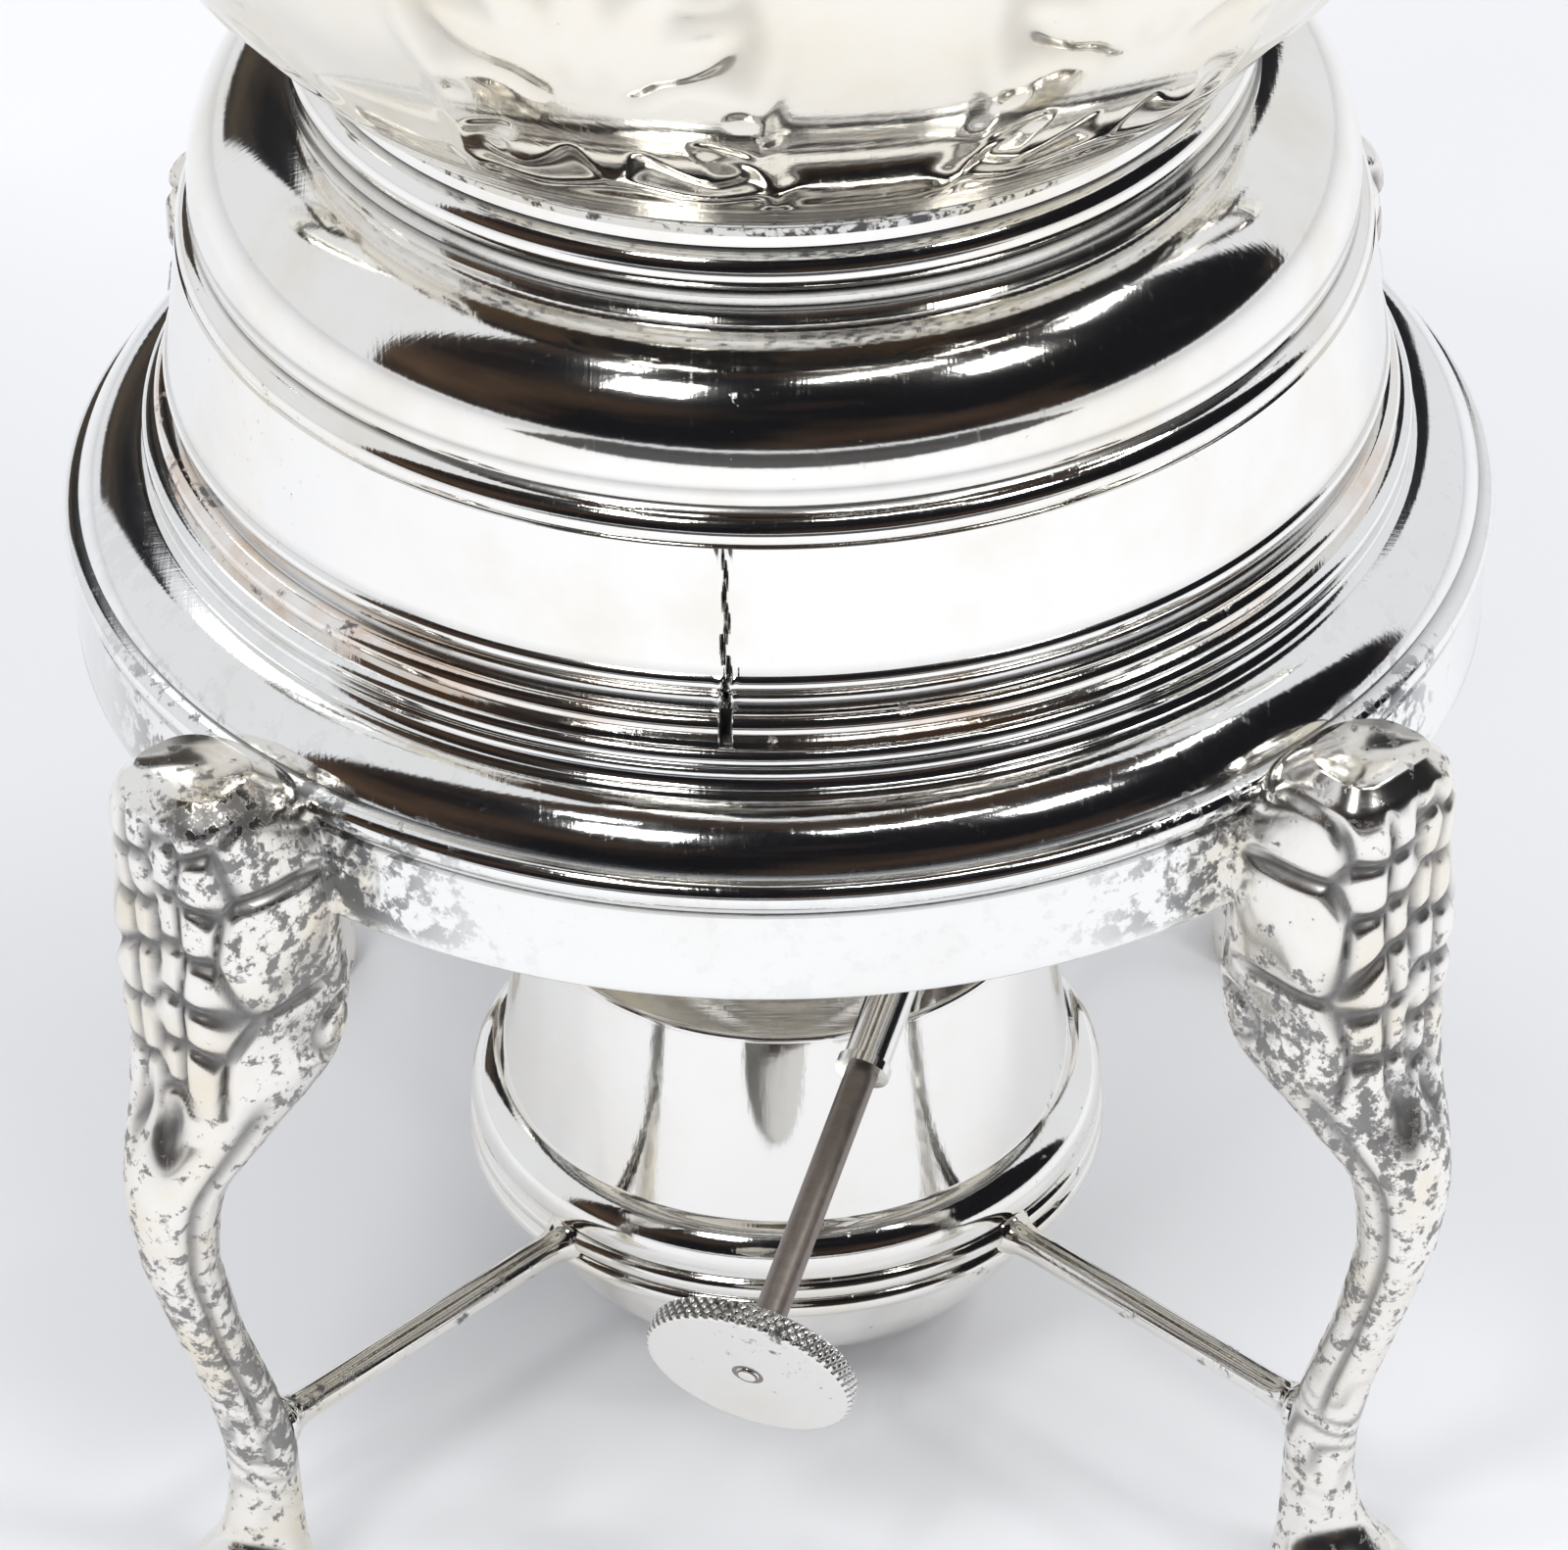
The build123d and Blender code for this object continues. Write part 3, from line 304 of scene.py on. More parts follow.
def plate_wear_and_shade_group():
    """Wear of old silver plate: cloudy tarnish, small dark pits and rubbed scratches, with painted shade in recesses
    darkened toward the tarnish colour.
    """
    group, given, made = new_group(
        "plate_wear_and_shade",
        [("Clean", "Color", (0.9, 0.89, 0.87, 1)), ("Tarnish", "Color", (0.2, 0.21, 0.23, 1)),
         ("Tint", "Color", (0.75, 0.66, 0.45, 1)), ("Tarnish Amount", "Float", 0.2),
         ("Tarnish Size", "Float", 120.0), ("Tint Amount", "Float", 0.2), ("Polish", "Float", 0.05),
         ("Shade And Tarnish", "Float", 0.0), ("Place", "Float", 1.0)],
        [("Colour", "Color"), ("Roughness", "Float"), ("Height", "Float")])
    links = group.links

    def node(kind, **values):
        made_node = group.nodes.new(kind)
        for label, value in values.items():
            setattr(made_node, label, value)
        return made_node

    def feed(socket, value):
        if isinstance(value, (int, float)):
            socket.default_value = value
        else:
            links.new(value, socket)

    def maths(operation, first, second, clamp=False):
        step = node("ShaderNodeMath", operation=operation, use_clamp=clamp)
        for socket, value in zip(step.inputs, (first, second)):
            feed(socket, value)
        return step.outputs[0]

    def noise(scale, detail, roughness, stretch=None, turned_by=0.0):
        texture = node("ShaderNodeTexNoise")
        texture.inputs["Detail"].default_value = detail
        texture.inputs["Roughness"].default_value = roughness
        feed(texture.inputs["Scale"], scale)
        vector = place.outputs["Object"]
        if stretch:
            mapping = node("ShaderNodeMapping")
            mapping.inputs["Scale"].default_value = stretch
            mapping.inputs["Rotation"].default_value = (turned_by, 0.7 * turned_by, turned_by)
            links.new(vector, mapping.inputs["Vector"])
            vector = mapping.outputs[0]
        links.new(vector, texture.inputs["Vector"])
        return texture.outputs["Fac"]

    def ramp(value, low, high):
        step = node("ShaderNodeMapRange", interpolation_type="SMOOTHSTEP")
        for label, setting in (("Value", value), ("From Min", low), ("From Max", high)):
            feed(step.inputs[label], setting)
        return step.outputs[0]

    def blend(amount, first, second):
        step = node("ShaderNodeMix", data_type="RGBA")
        links.new(amount, step.inputs[0])
        links.new(first, step.inputs[6])
        links.new(second, step.inputs[7])
        return step.outputs[2]

    place = node("ShaderNodeTexCoord")
    cloud = noise(given.outputs["Tarnish Size"], 9.0, 0.68)
    wide = noise(26.0, 3.0, 0.5)
    patchy = maths("ADD", maths("MULTIPLY", cloud, 0.62), maths("MULTIPLY", wide, 0.38))
    level_at = maths("SUBTRACT", 0.70, maths("MULTIPLY", given.outputs["Tarnish Amount"], 0.34))
    blotch = ramp(patchy, level_at, maths("ADD", level_at, 0.05))
    pits = ramp(noise(900.0, 3.0, 0.6), 0.70, 0.76)
    pits = maths("MULTIPLY", pits, ramp(wide, 0.45, 0.62))
    pits = maths("MULTIPLY", pits, ramp(given.outputs["Tarnish Amount"], 0.0, 0.3))
    mask = maths("MULTIPLY", maths("MAXIMUM", blotch, pits), given.outputs["Place"], clamp=True)
    # Painted shade in recesses, with tarnish on the legs, darkens toward the tarnish colour.
    shade_and_tarnish = maths("MULTIPLY", given.outputs["Shade And Tarnish"], maths("ADD", 0.72, maths("MULTIPLY", cloud, 0.5)), clamp=True)
    dark = maths("MAXIMUM", maths("MULTIPLY", mask, 0.85), shade_and_tarnish)
    warm = maths("MULTIPLY", ramp(noise(60.0, 5.0, 0.6), 0.42, 0.75), given.outputs["Tint Amount"], clamp=True)
    scratch_a = noise(1.0, 3.0, 0.55, (2400.0, 90.0, 300.0), 0.5)
    scratch_b = noise(1.0, 3.0, 0.55, (140.0, 2100.0, 420.0), -0.8)
    scratches = maths("MULTIPLY", scratch_a, scratch_b)
    smear = noise(45.0, 4.0, 0.6, (1.0, 1.0, 3.0), 0.4)
    colour = blend(dark, blend(warm, given.outputs["Clean"], given.outputs["Tint"]), given.outputs["Tarnish"])
    rough = maths("ADD", given.outputs["Polish"], maths("MULTIPLY", dark, 0.34))
    rough = maths("ADD", rough, maths("MULTIPLY", ramp(scratches, 0.30, 0.50), 0.10))
    rough = maths("ADD", rough, maths("MULTIPLY", smear, 0.05))
    height = maths("SUBTRACT", maths("MULTIPLY", scratches, 0.5), maths("MULTIPLY", dark, 0.5))
    links.new(colour, made.inputs["Colour"])
    links.new(rough, made.inputs["Roughness"])
    links.new(height, made.inputs["Height"])
    return group


plate_wear_and_shade = plate_wear_and_shade_group()


def silver(name, clean, tarnish=0.2, size=120.0, tint=0.2, polish=0.05, bump=0.25, place_by_leg_shade=False,
           dark=(0.10, 0.105, 0.115), tint_colour=(0.72, 0.62, 0.40)):
    """Silver-plate material. When asked, its tarnish pattern lies only where the mesh's painted shade beside the legs
    is high.
    """
    made, made_nodes, links, shader = material_nodes(name)
    wear_and_shade = made_nodes.new("ShaderNodeGroup")
    wear_and_shade.node_tree = plate_wear_and_shade
    wear_and_shade.inputs["Clean"].default_value = (*clean, 1)
    wear_and_shade.inputs["Tarnish"].default_value = (*dark, 1)
    wear_and_shade.inputs["Tint"].default_value = (*tint_colour, 1)
    wear_and_shade.inputs["Tarnish Amount"].default_value = tarnish
    wear_and_shade.inputs["Tarnish Size"].default_value = size
    wear_and_shade.inputs["Tint Amount"].default_value = tint
    wear_and_shade.inputs["Polish"].default_value = polish
    # Painted shade in recesses, read per point from the mesh.
    depth = made_nodes.new("ShaderNodeAttribute")
    depth.attribute_name = "shade_and_tarnish"
    links.new(depth.outputs["Fac"], wear_and_shade.inputs["Shade And Tarnish"])
    if place_by_leg_shade:
        # Painted shade beside the legs decides where the tarnish pattern lies.
        where = made_nodes.new("ShaderNodeAttribute")
        where.attribute_name = "beside_leg_shade"
        links.new(where.outputs["Fac"], wear_and_shade.inputs["Place"])
    relief = made_nodes.new("ShaderNodeBump")
    relief.inputs["Strength"].default_value = bump
    relief.inputs["Distance"].default_value = 0.00012
    links.new(wear_and_shade.outputs["Colour"], shader.inputs["Base Color"])
    links.new(wear_and_shade.outputs["Roughness"], shader.inputs["Roughness"])
    links.new(wear_and_shade.outputs["Height"], relief.inputs["Height"])
    links.new(relief.outputs["Normal"], shader.inputs["Normal"])
    shader.inputs["Metallic"].default_value = 1.0
    return made


def finish_piece(piece, body, slot_name, material, *replaced):
    """Gives a piece its material, body and the solids that it stands for; the slot name is not used."""
    piece.data.materials.append(material)
    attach(piece, body)
    if replaced:
        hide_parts(*replaced)


skirt_low, skirt_top = 103.2, 114.8
skirt_radius, skirt_inside = 81.6, 80.2
skirt_foot = (skirt_radius - 0.5, skirt_low)
bead_low, bead_high = 115.5, 119.1
bead_root, bead_crown = 80.9, 82.5
dome_low, dome_high = 119.8, 125.4
ring_mouth, ring_seat, ring_top = 65.5, 126.2, 130.2
# Its tarnish pattern is gathered into painted shade beside the legs.
ring_silver = silver("stand_plate", (0.90, 0.90, 0.885), tarnish=0.57, size=330.0, tint=0.12, place_by_leg_shade=True,
                     dark=(0.07, 0.075, 0.085))
bead_end = (bead_root, bead_high)
dome_start = (80.6, dome_low)
dome_end = (73.2, dome_high)
cove_end = (72.5, 128.0)
ring_profile = run(
    skirt_foot, bulged(skirt_foot, (skirt_radius, skirt_low + 0.6), 0.1),
    (skirt_radius, skirt_top - 0.3), (80.95, skirt_top), (bead_root, bead_low),
    ((bead_crown, (bead_low + bead_high) / 2), bead_end), (80.2, bead_high + 0.3), dome_start,
    bulged(dome_start, dome_end, 1.4), bulged(dome_end, cove_end, -0.5), bulged(cove_end, (71.6, ring_top), 0.7),
    (ring_mouth, ring_top), (ring_mouth, ring_seat), (66.9, ring_seat), (66.9, 128.8), (69.6, 128.8),
    (71.0, 127.4), (71.9, 124.6), (78.9, 118.8), (skirt_inside, 115.6), (skirt_inside, skirt_low), skirt_foot)


def ring_groove_shade(radius, height, around):
    """Painted shade: dark lines in the grooves above and below the rim bead."""
    lines = np.exp(-((height - 115.2) / 0.35) ** 2) + 0.8 * np.exp(-((height - 119.4) / 0.3) ** 2)
    return radius, height, np.where(radius > 79.5, lines * 0.8, 0.0)


def shaded_by_legs(piece):
    """The same piece with its painted shade beside the legs: high on the skirt and bead next to each leg."""
    places = np.zeros(len(piece.data.vertices) * 3)
    piece.data.vertices.foreach_get("co", places)
    places = places.reshape(-1, 3) * 1000
    around = np.arctan2(places[:, 1], places[:, 0])
    # Painted shade beside each leg, fading away from it and off the skirt and bead.
    beside = np.abs((around % (pi / 2)) - pi / 4) * skirt_radius
    beside_leg_shade = np.exp(-(np.clip(beside - 12, 0, None) / 15.0) ** 2)
    beside_leg_shade *= np.clip((121.5 - places[:, 2]) / 3.0, 0, 1) * np.clip((places[:, 2] - 103.8) / 1.5, 0, 1)
    layer = piece.data.attributes.new("beside_leg_shade", "FLOAT", "POINT")
    layer.data.foreach_set("value", np.clip(beside_leg_shade, 0.06, 1).astype(np.float32))
    return piece


# The stand ring carries painted shade beside each leg and in its rim grooves.
finish_piece(shaded_by_legs(turned("stand_ring_spun", ring_profile, columns=300, relief=ring_groove_shade)),
             "stand", "silver_stand", ring_silver, "stand_ring")


# Cast legs.
# Four castings, silver plated: a broad knee with two columns of chased cells and smooth side
# lobes, a grooved S-shaped shank, an ankle and a pad foot. Each knee is soldered to the ring's edge.
leg_silver = silver("leg_plate", (0.90, 0.88, 0.84), tarnish=0.47, size=520.0, tint=0.50, polish=0.15,
                    dark=(0.21, 0.205, 0.205), tint_colour=(0.76, 0.65, 0.42))
leg_table = np.array([
    (0.0, 92.0, 10.2, 9.2), (2.4, 92.0, 10.4, 9.3), (5.5, 91.0, 9.2, 8.6), (8.5, 89.2, 7.0, 6.8),
    (12.0, 87.3, 5.0, 4.8), (18.0, 86.7, 4.2, 4.1), (25.0, 87.0, 4.2, 4.1), (34.0, 89.5, 4.0, 3.9),
    (45.0, 93.5, 3.9, 3.8), (58.0, 97.3, 4.5, 4.4), (66.0, 97.8, 5.3, 5.4), (70.0, 97.0, 6.0, 6.1),
    (75.0, 93.4, 8.2, 8.2), (80.0, 89.6, 9.8, 10.0), (84.0, 87.6, 10.9, 11.0), (92.0, 86.6, 11.2, 11.3),
    (99.0, 86.8, 11.4, 11.6), (106.0, 87.2, 11.2, 11.6), (112.0, 87.9, 10.6, 11.2), (117.0, 88.7, 9.6, 10.3),
    (120.5, 89.6, 8.1, 9.0), (122.6, 90.2, 6.2, 7.0), (123.3, 90.5, 4.4, 5.0)])
leg_rows = 290
leg_columns = 132
leg_corners = {"rear_right": 45, "rear_left": 135, "front_left": 225, "front_right": 315}
ring_edge = np.array([(103.1, 60.0), (skirt_low, skirt_radius), (skirt_top, skirt_radius), (bead_low, bead_root),
                      (bead_high, bead_root), (dome_low, dome_start[0]), (122.0, 78.9), (dome_high, dome_end[0])])


def leg_cells(across, height):
    """How deep the chased grooves of the knee are, from the two nearest cell middles."""
    jitter = np.random.default_rng(7)
    middles = []
    for row in range(7):
        for column, place in enumerate((-5.7, -2.0, 2.0, 5.7)):
            lean = 0.7 * abs(place) + (3.4 if column % 2 else 0.0)
            middles.append((place + jitter.uniform(-0.7, 0.7), 79.0 + 6.9 * row + lean + jitter.uniform(-1.1, 1.1)))
    for level_at in (86.0, 104.0, 118.0):
        for side in (-1, 1):
            middles.append((side * 11.4, level_at + jitter.uniform(-1.0, 1.0)))
    near = np.full(across.shape, 1e9)
    second = np.full(across.shape, 1e9)
    for place, level_at in middles:
        away = np.hypot(across - place, 0.55 * (height - level_at))
        second = np.minimum(second, np.maximum(near, away))
        near = np.minimum(near, away)
    return np.exp(-((second - near) / 0.95) ** 2)


def leg_grid():
    """Points of one leg at +X, and how dark each is: painted shade in its grooves and hollows, and grey tarnish
    mottle at the ankle.
    """
    lift = np.linspace(leg_table[0, 0], leg_table[-1, 0], leg_rows)
    spread = np.ones(9) / 9
    measures = []
    for column in (1, 2, 3):
        line = np.interp(lift, leg_table[:, 0], leg_table[:, column])
        measures.append(np.convolve(np.pad(line, 4, mode="edge"), spread, mode="valid"))
    middle, depth, width = (line[:, None] for line in measures)
    turn_round = np.linspace(-pi, pi, leg_columns, endpoint=False)[None, :]
    level_at = np.repeat(lift[:, None], leg_columns, axis=1)
    knee = np.clip((level_at - 78) / 8, 0, 1)
    square = 2.0 + 0.9 * knee
    out = np.sign(np.cos(turn_round)) * np.abs(np.cos(turn_round)) ** (2 / square)
    side = np.sign(np.sin(turn_round)) * np.abs(np.sin(turn_round)) ** (2 / square)
    across = width * side
    facing = np.clip((np.cos(turn_round) + 0.45) / 0.35, 0, 1)
    groove = leg_cells(across, level_at) * facing * np.clip((level_at - 81) / 2.5, 0, 1)
    groove *= np.clip((121 - level_at) / 3.0, 0, 1)
    tip = np.exp(-((level_at - 79.5) / 3.4) ** 2 - ((np.abs(across) - 2.6 + 0.1 * (level_at - 79.5)) / 1.3) ** 2)
    tip = tip * facing
    shank = np.exp(-((np.abs(turn_round) - 1.25) / 0.17) ** 2)
    shank = shank * np.clip((level_at - 27) / 5, 0, 1) * np.clip((84 - level_at) / 4, 0, 1)
    curl = np.exp(-(np.hypot(np.abs(turn_round) - 2.05, (level_at - 88) / 9.0) / 0.34 - 1) ** 2 / 0.045)
    toes = np.abs(np.sin(2.5 * turn_round)) ** 8 * np.clip((8.5 - level_at) / 3, 0, 1)
    toes = toes * (np.cos(turn_round) > -0.1)
    # Painted shade in the chased cells, the knee tips, the shank groove, the curls and the toes.
    darkening = np.maximum.reduce([groove, tip, 0.8 * shank, 0.75 * curl * knee, 0.7 * toes])
    sink = 0.95 * groove + 1.1 * tip + 0.75 * shank + 0.8 * curl * knee + 1.1 * toes
    swell = 0.45 * np.sin(level_at / 3.9 + 2.6 * np.cos(turn_round)) * knee
    depth = depth - sink + swell
    width = width - sink + swell
    radial = middle + depth * out
    sideways = width * side
    reach = np.hypot(radial, sideways)
    edge = np.interp(level_at, ring_edge[:, 0], ring_edge[:, 1]) - 0.6
    edge = np.where(level_at > 103.15, edge, 0.0)
    grow = np.maximum(1.0, edge / reach)
    grid = np.stack([radial * grow, sideways * grow, level_at], axis=-1)
    caps = []
    for row in (0, -1):
        centre = np.array([middle[row, 0], 0.0, lift[row]])
        caps.append(np.repeat(centre[None, None, :], leg_columns, axis=1) + (grid[row] - centre) * 0.03)
    # Grey tarnish mottle round the ankle.
    mottle = 0.75 * np.clip(np.sin(level_at * 1.7 + 3.1 * np.sin(2 * turn_round + level_at * 0.5)), 0, 1)
    mottle = mottle * np.exp(-((level_at - 27) / 7.0) ** 2)
    darkening = np.maximum(darkening, mottle)
    grid = np.concatenate([caps[0], grid, caps[1]])
    return grid, np.concatenate([darkening[:1], darkening, darkening[-1:]])


def swung(grid, angle):
    """The grid turned about the upright axis by an angle in degrees."""
    turn_by = radians(angle)
    moved = grid.copy()
    moved[..., 0] = grid[..., 0] * cos(turn_by) - grid[..., 1] * sin(turn_by)
    moved[..., 1] = grid[..., 0] * sin(turn_by) + grid[..., 1] * cos(turn_by)
    return moved


leg_points, leg_shade_and_tarnish = leg_grid()
for corner, angle in leg_corners.items():
    piece = skin("cast_leg_" + corner, swung(leg_points, angle), loop_rows=False, sharp=62, shade_and_tarnish=leg_shade_and_tarnish)
    finish_piece(piece, "stand", "silver_cast", leg_silver, "leg_" + corner)


# Burner holder.
# A moulded silver-plated ring, and four drawn rods soldered from it to the ankles.
# The solder stands as a small fillet at both ends of each rod.
rod_silver = silver("rod_plate", (0.87, 0.86, 0.83), tarnish=0.30, size=320.0, tint=0.28, polish=0.06)
holder_low, holder_middle, holder_high = 22.6, 25.3, 28.0
holder_bore, holder_outside, holder_crown = 36.4, 37.7, 38.5
rod_radius, rod_height = 1.85, 26.0
rod_inner_end, rod_outer_end = 37.4, 84.4
inner_solder, outer_solder, solder_radius = 37.9, 83.4, 3.0
finish_piece(turned("holder_ring_turned", run(
    (holder_bore, holder_low), (holder_outside, holder_low), ((holder_crown, 23.95), (holder_outside, holder_middle)),
    ((holder_crown, 26.65), (holder_outside, holder_high)), (holder_bore, holder_high), (holder_bore, holder_low),
    spacing=0.25)), "stand", "silver_rod", rod_silver, "holder_ring")


def rod_grid():
    """Points of one rod at +X, thicker where the solder is."""
    along = np.linspace(rod_inner_end, rod_outer_end, 96)[:, None]
    turn_round = np.linspace(0, 2 * pi, 40, endpoint=False)[None, :]
    thick = rod_radius + 1.1 * np.exp(-(along - inner_solder) / 1.1) + 1.2 * np.exp(-(outer_solder - along) / 1.2)
    thick = np.minimum(thick, solder_radius)
    return np.stack([along + 0 * turn_round, thick * np.cos(turn_round), rod_height + thick * np.sin(turn_round)],
                    axis=-1)


for corner, angle in leg_corners.items():
    piece = skin("holder_rod_" + corner, swung(rod_grid(), angle), loop_rows=False, sharp=60)
    finish_piece(piece, "stand", "silver_rod", rod_silver, "arm_" + corner)


# Burner.
# A spun reservoir with a rolled shoulder and a tapered pot, closed by a low coned cover, and the
# round wick tube soldered through it. The pot's wall mirrors the pale table.
burner_silver = silver("burner_plate", (0.91, 0.90, 0.875), tarnish=0.24, size=340.0, tint=0.16)
floor_low, floor_high = 3.0, 3.9
floor_edge, seat_low = (17.5, floor_low), (36.1, 28.0)
inner_floor, inner_seat = (17.5, floor_high), (35.2, 28.0)
pot_radius, pot_inside, pot_foot, pot_top = 31.0, 30.1, 34.6, 58.3
cover_hole, cover_flat, cover_under, cover_top = 15.65, 21.0, 59.7, 60.7
tube_radius, tube_inside, tube_low, tube_high = 15.6, 14.8, 30.7, 76.3
finish_piece(turned("reservoir_spun", run(
    (0.02, floor_low), floor_edge, bulged(floor_edge, seat_low, 5.0), (37.7, 28.0), ((38.2, 30.64), (34.6, pot_foot)),
    (pot_radius, pot_top), (pot_inside, pot_top), (33.7, pot_foot), inner_seat,
    bulged(inner_seat, inner_floor, -4.6), (0.02, floor_high), (0.02, floor_low))),
    "burner", "silver_burner", burner_silver, "burner_reservoir")
finish_piece(turned("cover_spun", run(
    (cover_hole, cover_top), (cover_flat, cover_top), bulged((cover_flat, cover_top), (30.6, 59.1), 0.2),
    ((pot_radius, 58.75), (pot_radius, pot_top)), (cover_flat, cover_under), (cover_hole, cover_under),
    (cover_hole, cover_top))), "burner", "silver_burner", burner_silver, "burner_cover")
finish_piece(turned("wick_tube_drawn", run(
    (tube_radius, tube_low), (tube_radius, tube_high), ((15.2, 76.7), (tube_inside, tube_high)),
    (tube_inside, tube_low), (tube_radius, tube_low))), "burner", "silver_burner", burner_silver, "wick_tube")


# Wick-raising knob.
# A flat disc with a diamond-knurled edge, pressed and riveted on the spindle's end.
# Its face is satin, with dark spots of tarnish low on the left.
knob_silver = silver("knob_plate", (0.86, 0.85, 0.825), tarnish=0.38, size=520.0, tint=0.22, polish=0.15,
                     dark=(0.13, 0.125, 0.12))
spindle_slope, spindle_plan = radians(22.6), radians(248.9)
toward_knob = np.array((cos(spindle_slope) * cos(spindle_plan), cos(spindle_slope) * sin(spindle_plan),
                        -sin(spindle_slope)))
level_across = np.array((-sin(spindle_plan), cos(spindle_plan), 0.0))
knob_upward = np.cross(toward_knob, level_across)
wheel_middle = level_across * 21.5 + np.array((0, 0, 71.6))
knob_back, knob_face, knob_radius, knurl_count = 72.0, 75.0, 12.4, 58
knob_hole, flat_radius, edge_radius = 1.9, 11.9, 12.2
rivet_outline = np.array([(0.05, 75.36), (0.8, 75.35), (1.15, 75.28), (1.36, 75.1), (1.4, 74.98)])


def on_spindle(along, radius, turn_round):
    """Points about the spindle's axis, from the distance along it, the radius and the angle."""
    return (wheel_middle + along[..., None] * toward_knob
            + (radius * np.cos(turn_round))[..., None] * level_across
            + (radius * np.sin(turn_round))[..., None] * knob_upward)


def knob_grid():
    """Points of the knurled disc, and the painted shade in its knurl grooves."""
    profile = np.array(run(
        (knob_hole, knob_back), (flat_radius, knob_back), (edge_radius, knob_back + 0.12),
        (knob_radius, knob_back + 0.45), (knob_radius, knob_face - 0.45), (edge_radius, knob_face - 0.12),
        (flat_radius, knob_face), (knob_hole, knob_face), spacing=0.06))
    turn_round = np.linspace(0, 2 * pi, knurl_count * 10, endpoint=False)[None, :]
    radius = np.repeat(profile[:, :1], turn_round.size, axis=1)
    along = np.repeat(profile[:, 1:], turn_round.size, axis=1)
    slant = 2.3 * (along - knob_back)
    lines = np.minimum(np.abs(np.sin(knurl_count / 2 * turn_round + slant)),
                       np.abs(np.sin(knurl_count / 2 * turn_round - slant)))
    cut = np.clip(1 - lines / 0.55, 0, 1) * np.clip((radius - 12.0) / 0.3, 0, 1)
    # The knurl grooves get painted shade.
    return on_spindle(along, radius - 0.42 * cut, turn_round), 0.85 * cut


knob_points, knob_groove_shade = knob_grid()
finish_piece(skin("knob_knurled", knob_points, loop_rows=False, sharp=50, shade_and_tarnish=knob_groove_shade),
             "wick_knob", "silver_knob", knob_silver, "wick_knob")
rivet_round = np.linspace(0, 2 * pi, 40, endpoint=False)
rivet_points = on_spindle(rivet_outline[:, 1:], rivet_outline[:, :1], rivet_round)
finish_piece(skin("knob_rivet", rivet_points, loop_rows=False), "wick_knob", "silver_knob", knob_silver)


# Urn base.
# A turned flange on the ring's land, then a strip bent round and soldered at the front. The seam
# has cracked open, and the flange is notched below it and worn to copper along its edge.
flange_silver = silver("flange_plate", (0.91, 0.89, 0.85), tarnish=0.40, size=260.0, tint=0.75,
                       tint_colour=(0.73, 0.49, 0.33))
band_silver = silver("band_plate", (0.93, 0.92, 0.895), tarnish=0.16, size=420.0, tint=0.22)
seam_angle = radians(-94.9) % (2 * pi)
seam_angles = np.unique(np.concatenate([
    np.linspace(0, 2 * pi, 300, endpoint=False), seam_angle + np.linspace(-0.03, 0.03, 101)]))


def notch(radius, height, around):
    """Filed notch in the flange's edge, with painted shade in the notch and in a line along the flange's top."""
    away = np.abs(around - seam_angle) * radius
    cut = (away < 0.62) & (radius > 67.2)
    groove = np.exp(-((height - 133.6) / 0.5) ** 2) * (radius < 69.6)
    return np.where(cut, 67.2, radius), height, np.maximum(0.85 * (cut | (away < 0.8)), 0.5 * groove)


def seam(radius, height, around):
    """Jagged crack with a low solder bead on each side; painted shade fills the crack and lines the cove below the
    band.
    """
    away = (around - seam_angle) * radius - 0.3 * np.sin(1.1 * height) - 0.14 * np.sin(4.1 * height + 1)
    open_at = (height > 133.6) & (height < 152.6) & (radius > 67.2)
    crack = np.exp(-(away / (0.13 + 0.006 * (152.6 - height))) ** 2) * open_at
    solder = np.exp(-((np.abs(away) - 0.75) / 0.4) ** 2) * open_at
    cove = 0.55 * np.exp(-((height - 133.9) / 0.35) ** 2) + 0.3 * np.exp(-((height - 138.3) / 0.3) ** 2)
    return radius - 1.1 * crack + 0.10 * solder, height, np.maximum(crack, cove * (radius > 68))


finish_piece(turned("base_flange_turned", run(
    (63.8, 124.2), (65.0, 124.2), (65.0, ring_top), (70.8, ring_top), (71.0, 131.0),
    ((71.15, 132.5), (69.9, 133.5)), (63.8, 133.5), (63.8, 124.2)), angles=seam_angles, relief=notch),
    "urn", "silver_base", flange_silver, "urn_base_flange")
cove_start, cove_finish, band_foot = (69.0, 133.5), (69.2, 135.9), (69.5, 138.1)
finish_piece(turned("base_band_bent", run(
    cove_start, bulged(cove_start, cove_finish, -0.4), ((70.0, 137.0), band_foot), (67.8, 153.5), (66.5, 153.5),
    (68.2, 138.0), (67.9, 135.9), (67.7, 133.5), cove_start), angles=seam_angles, relief=seam),
    "urn", "silver_base", band_silver, "urn_base_band")


# Urn foot.
# One spun piece: shoulder bead, groove, full dome, two fine fillets and a convex ring.
# Above it the collar is soldered on with a frosty joint and flares out to meet the body.
foot_silver = silver("foot_plate", (0.93, 0.915, 0.88), tarnish=0.20, size=380.0, tint=0.26)
dome_foot, dome_finish = (66.1, 159.9), (54.6, 174.3)


def foot_lines(radius, height, around):
    """Painted shade: dark lines in the turned grooves."""
    lines = sum(depth * np.exp(-((height - level_at) / 0.22) ** 2)
                for level_at, depth in ((157.4, 0.8), (160.0, 0.5), (175.4, 0.7), (176.9, 0.8), (181.8, 0.8)))
    return radius, height, lines


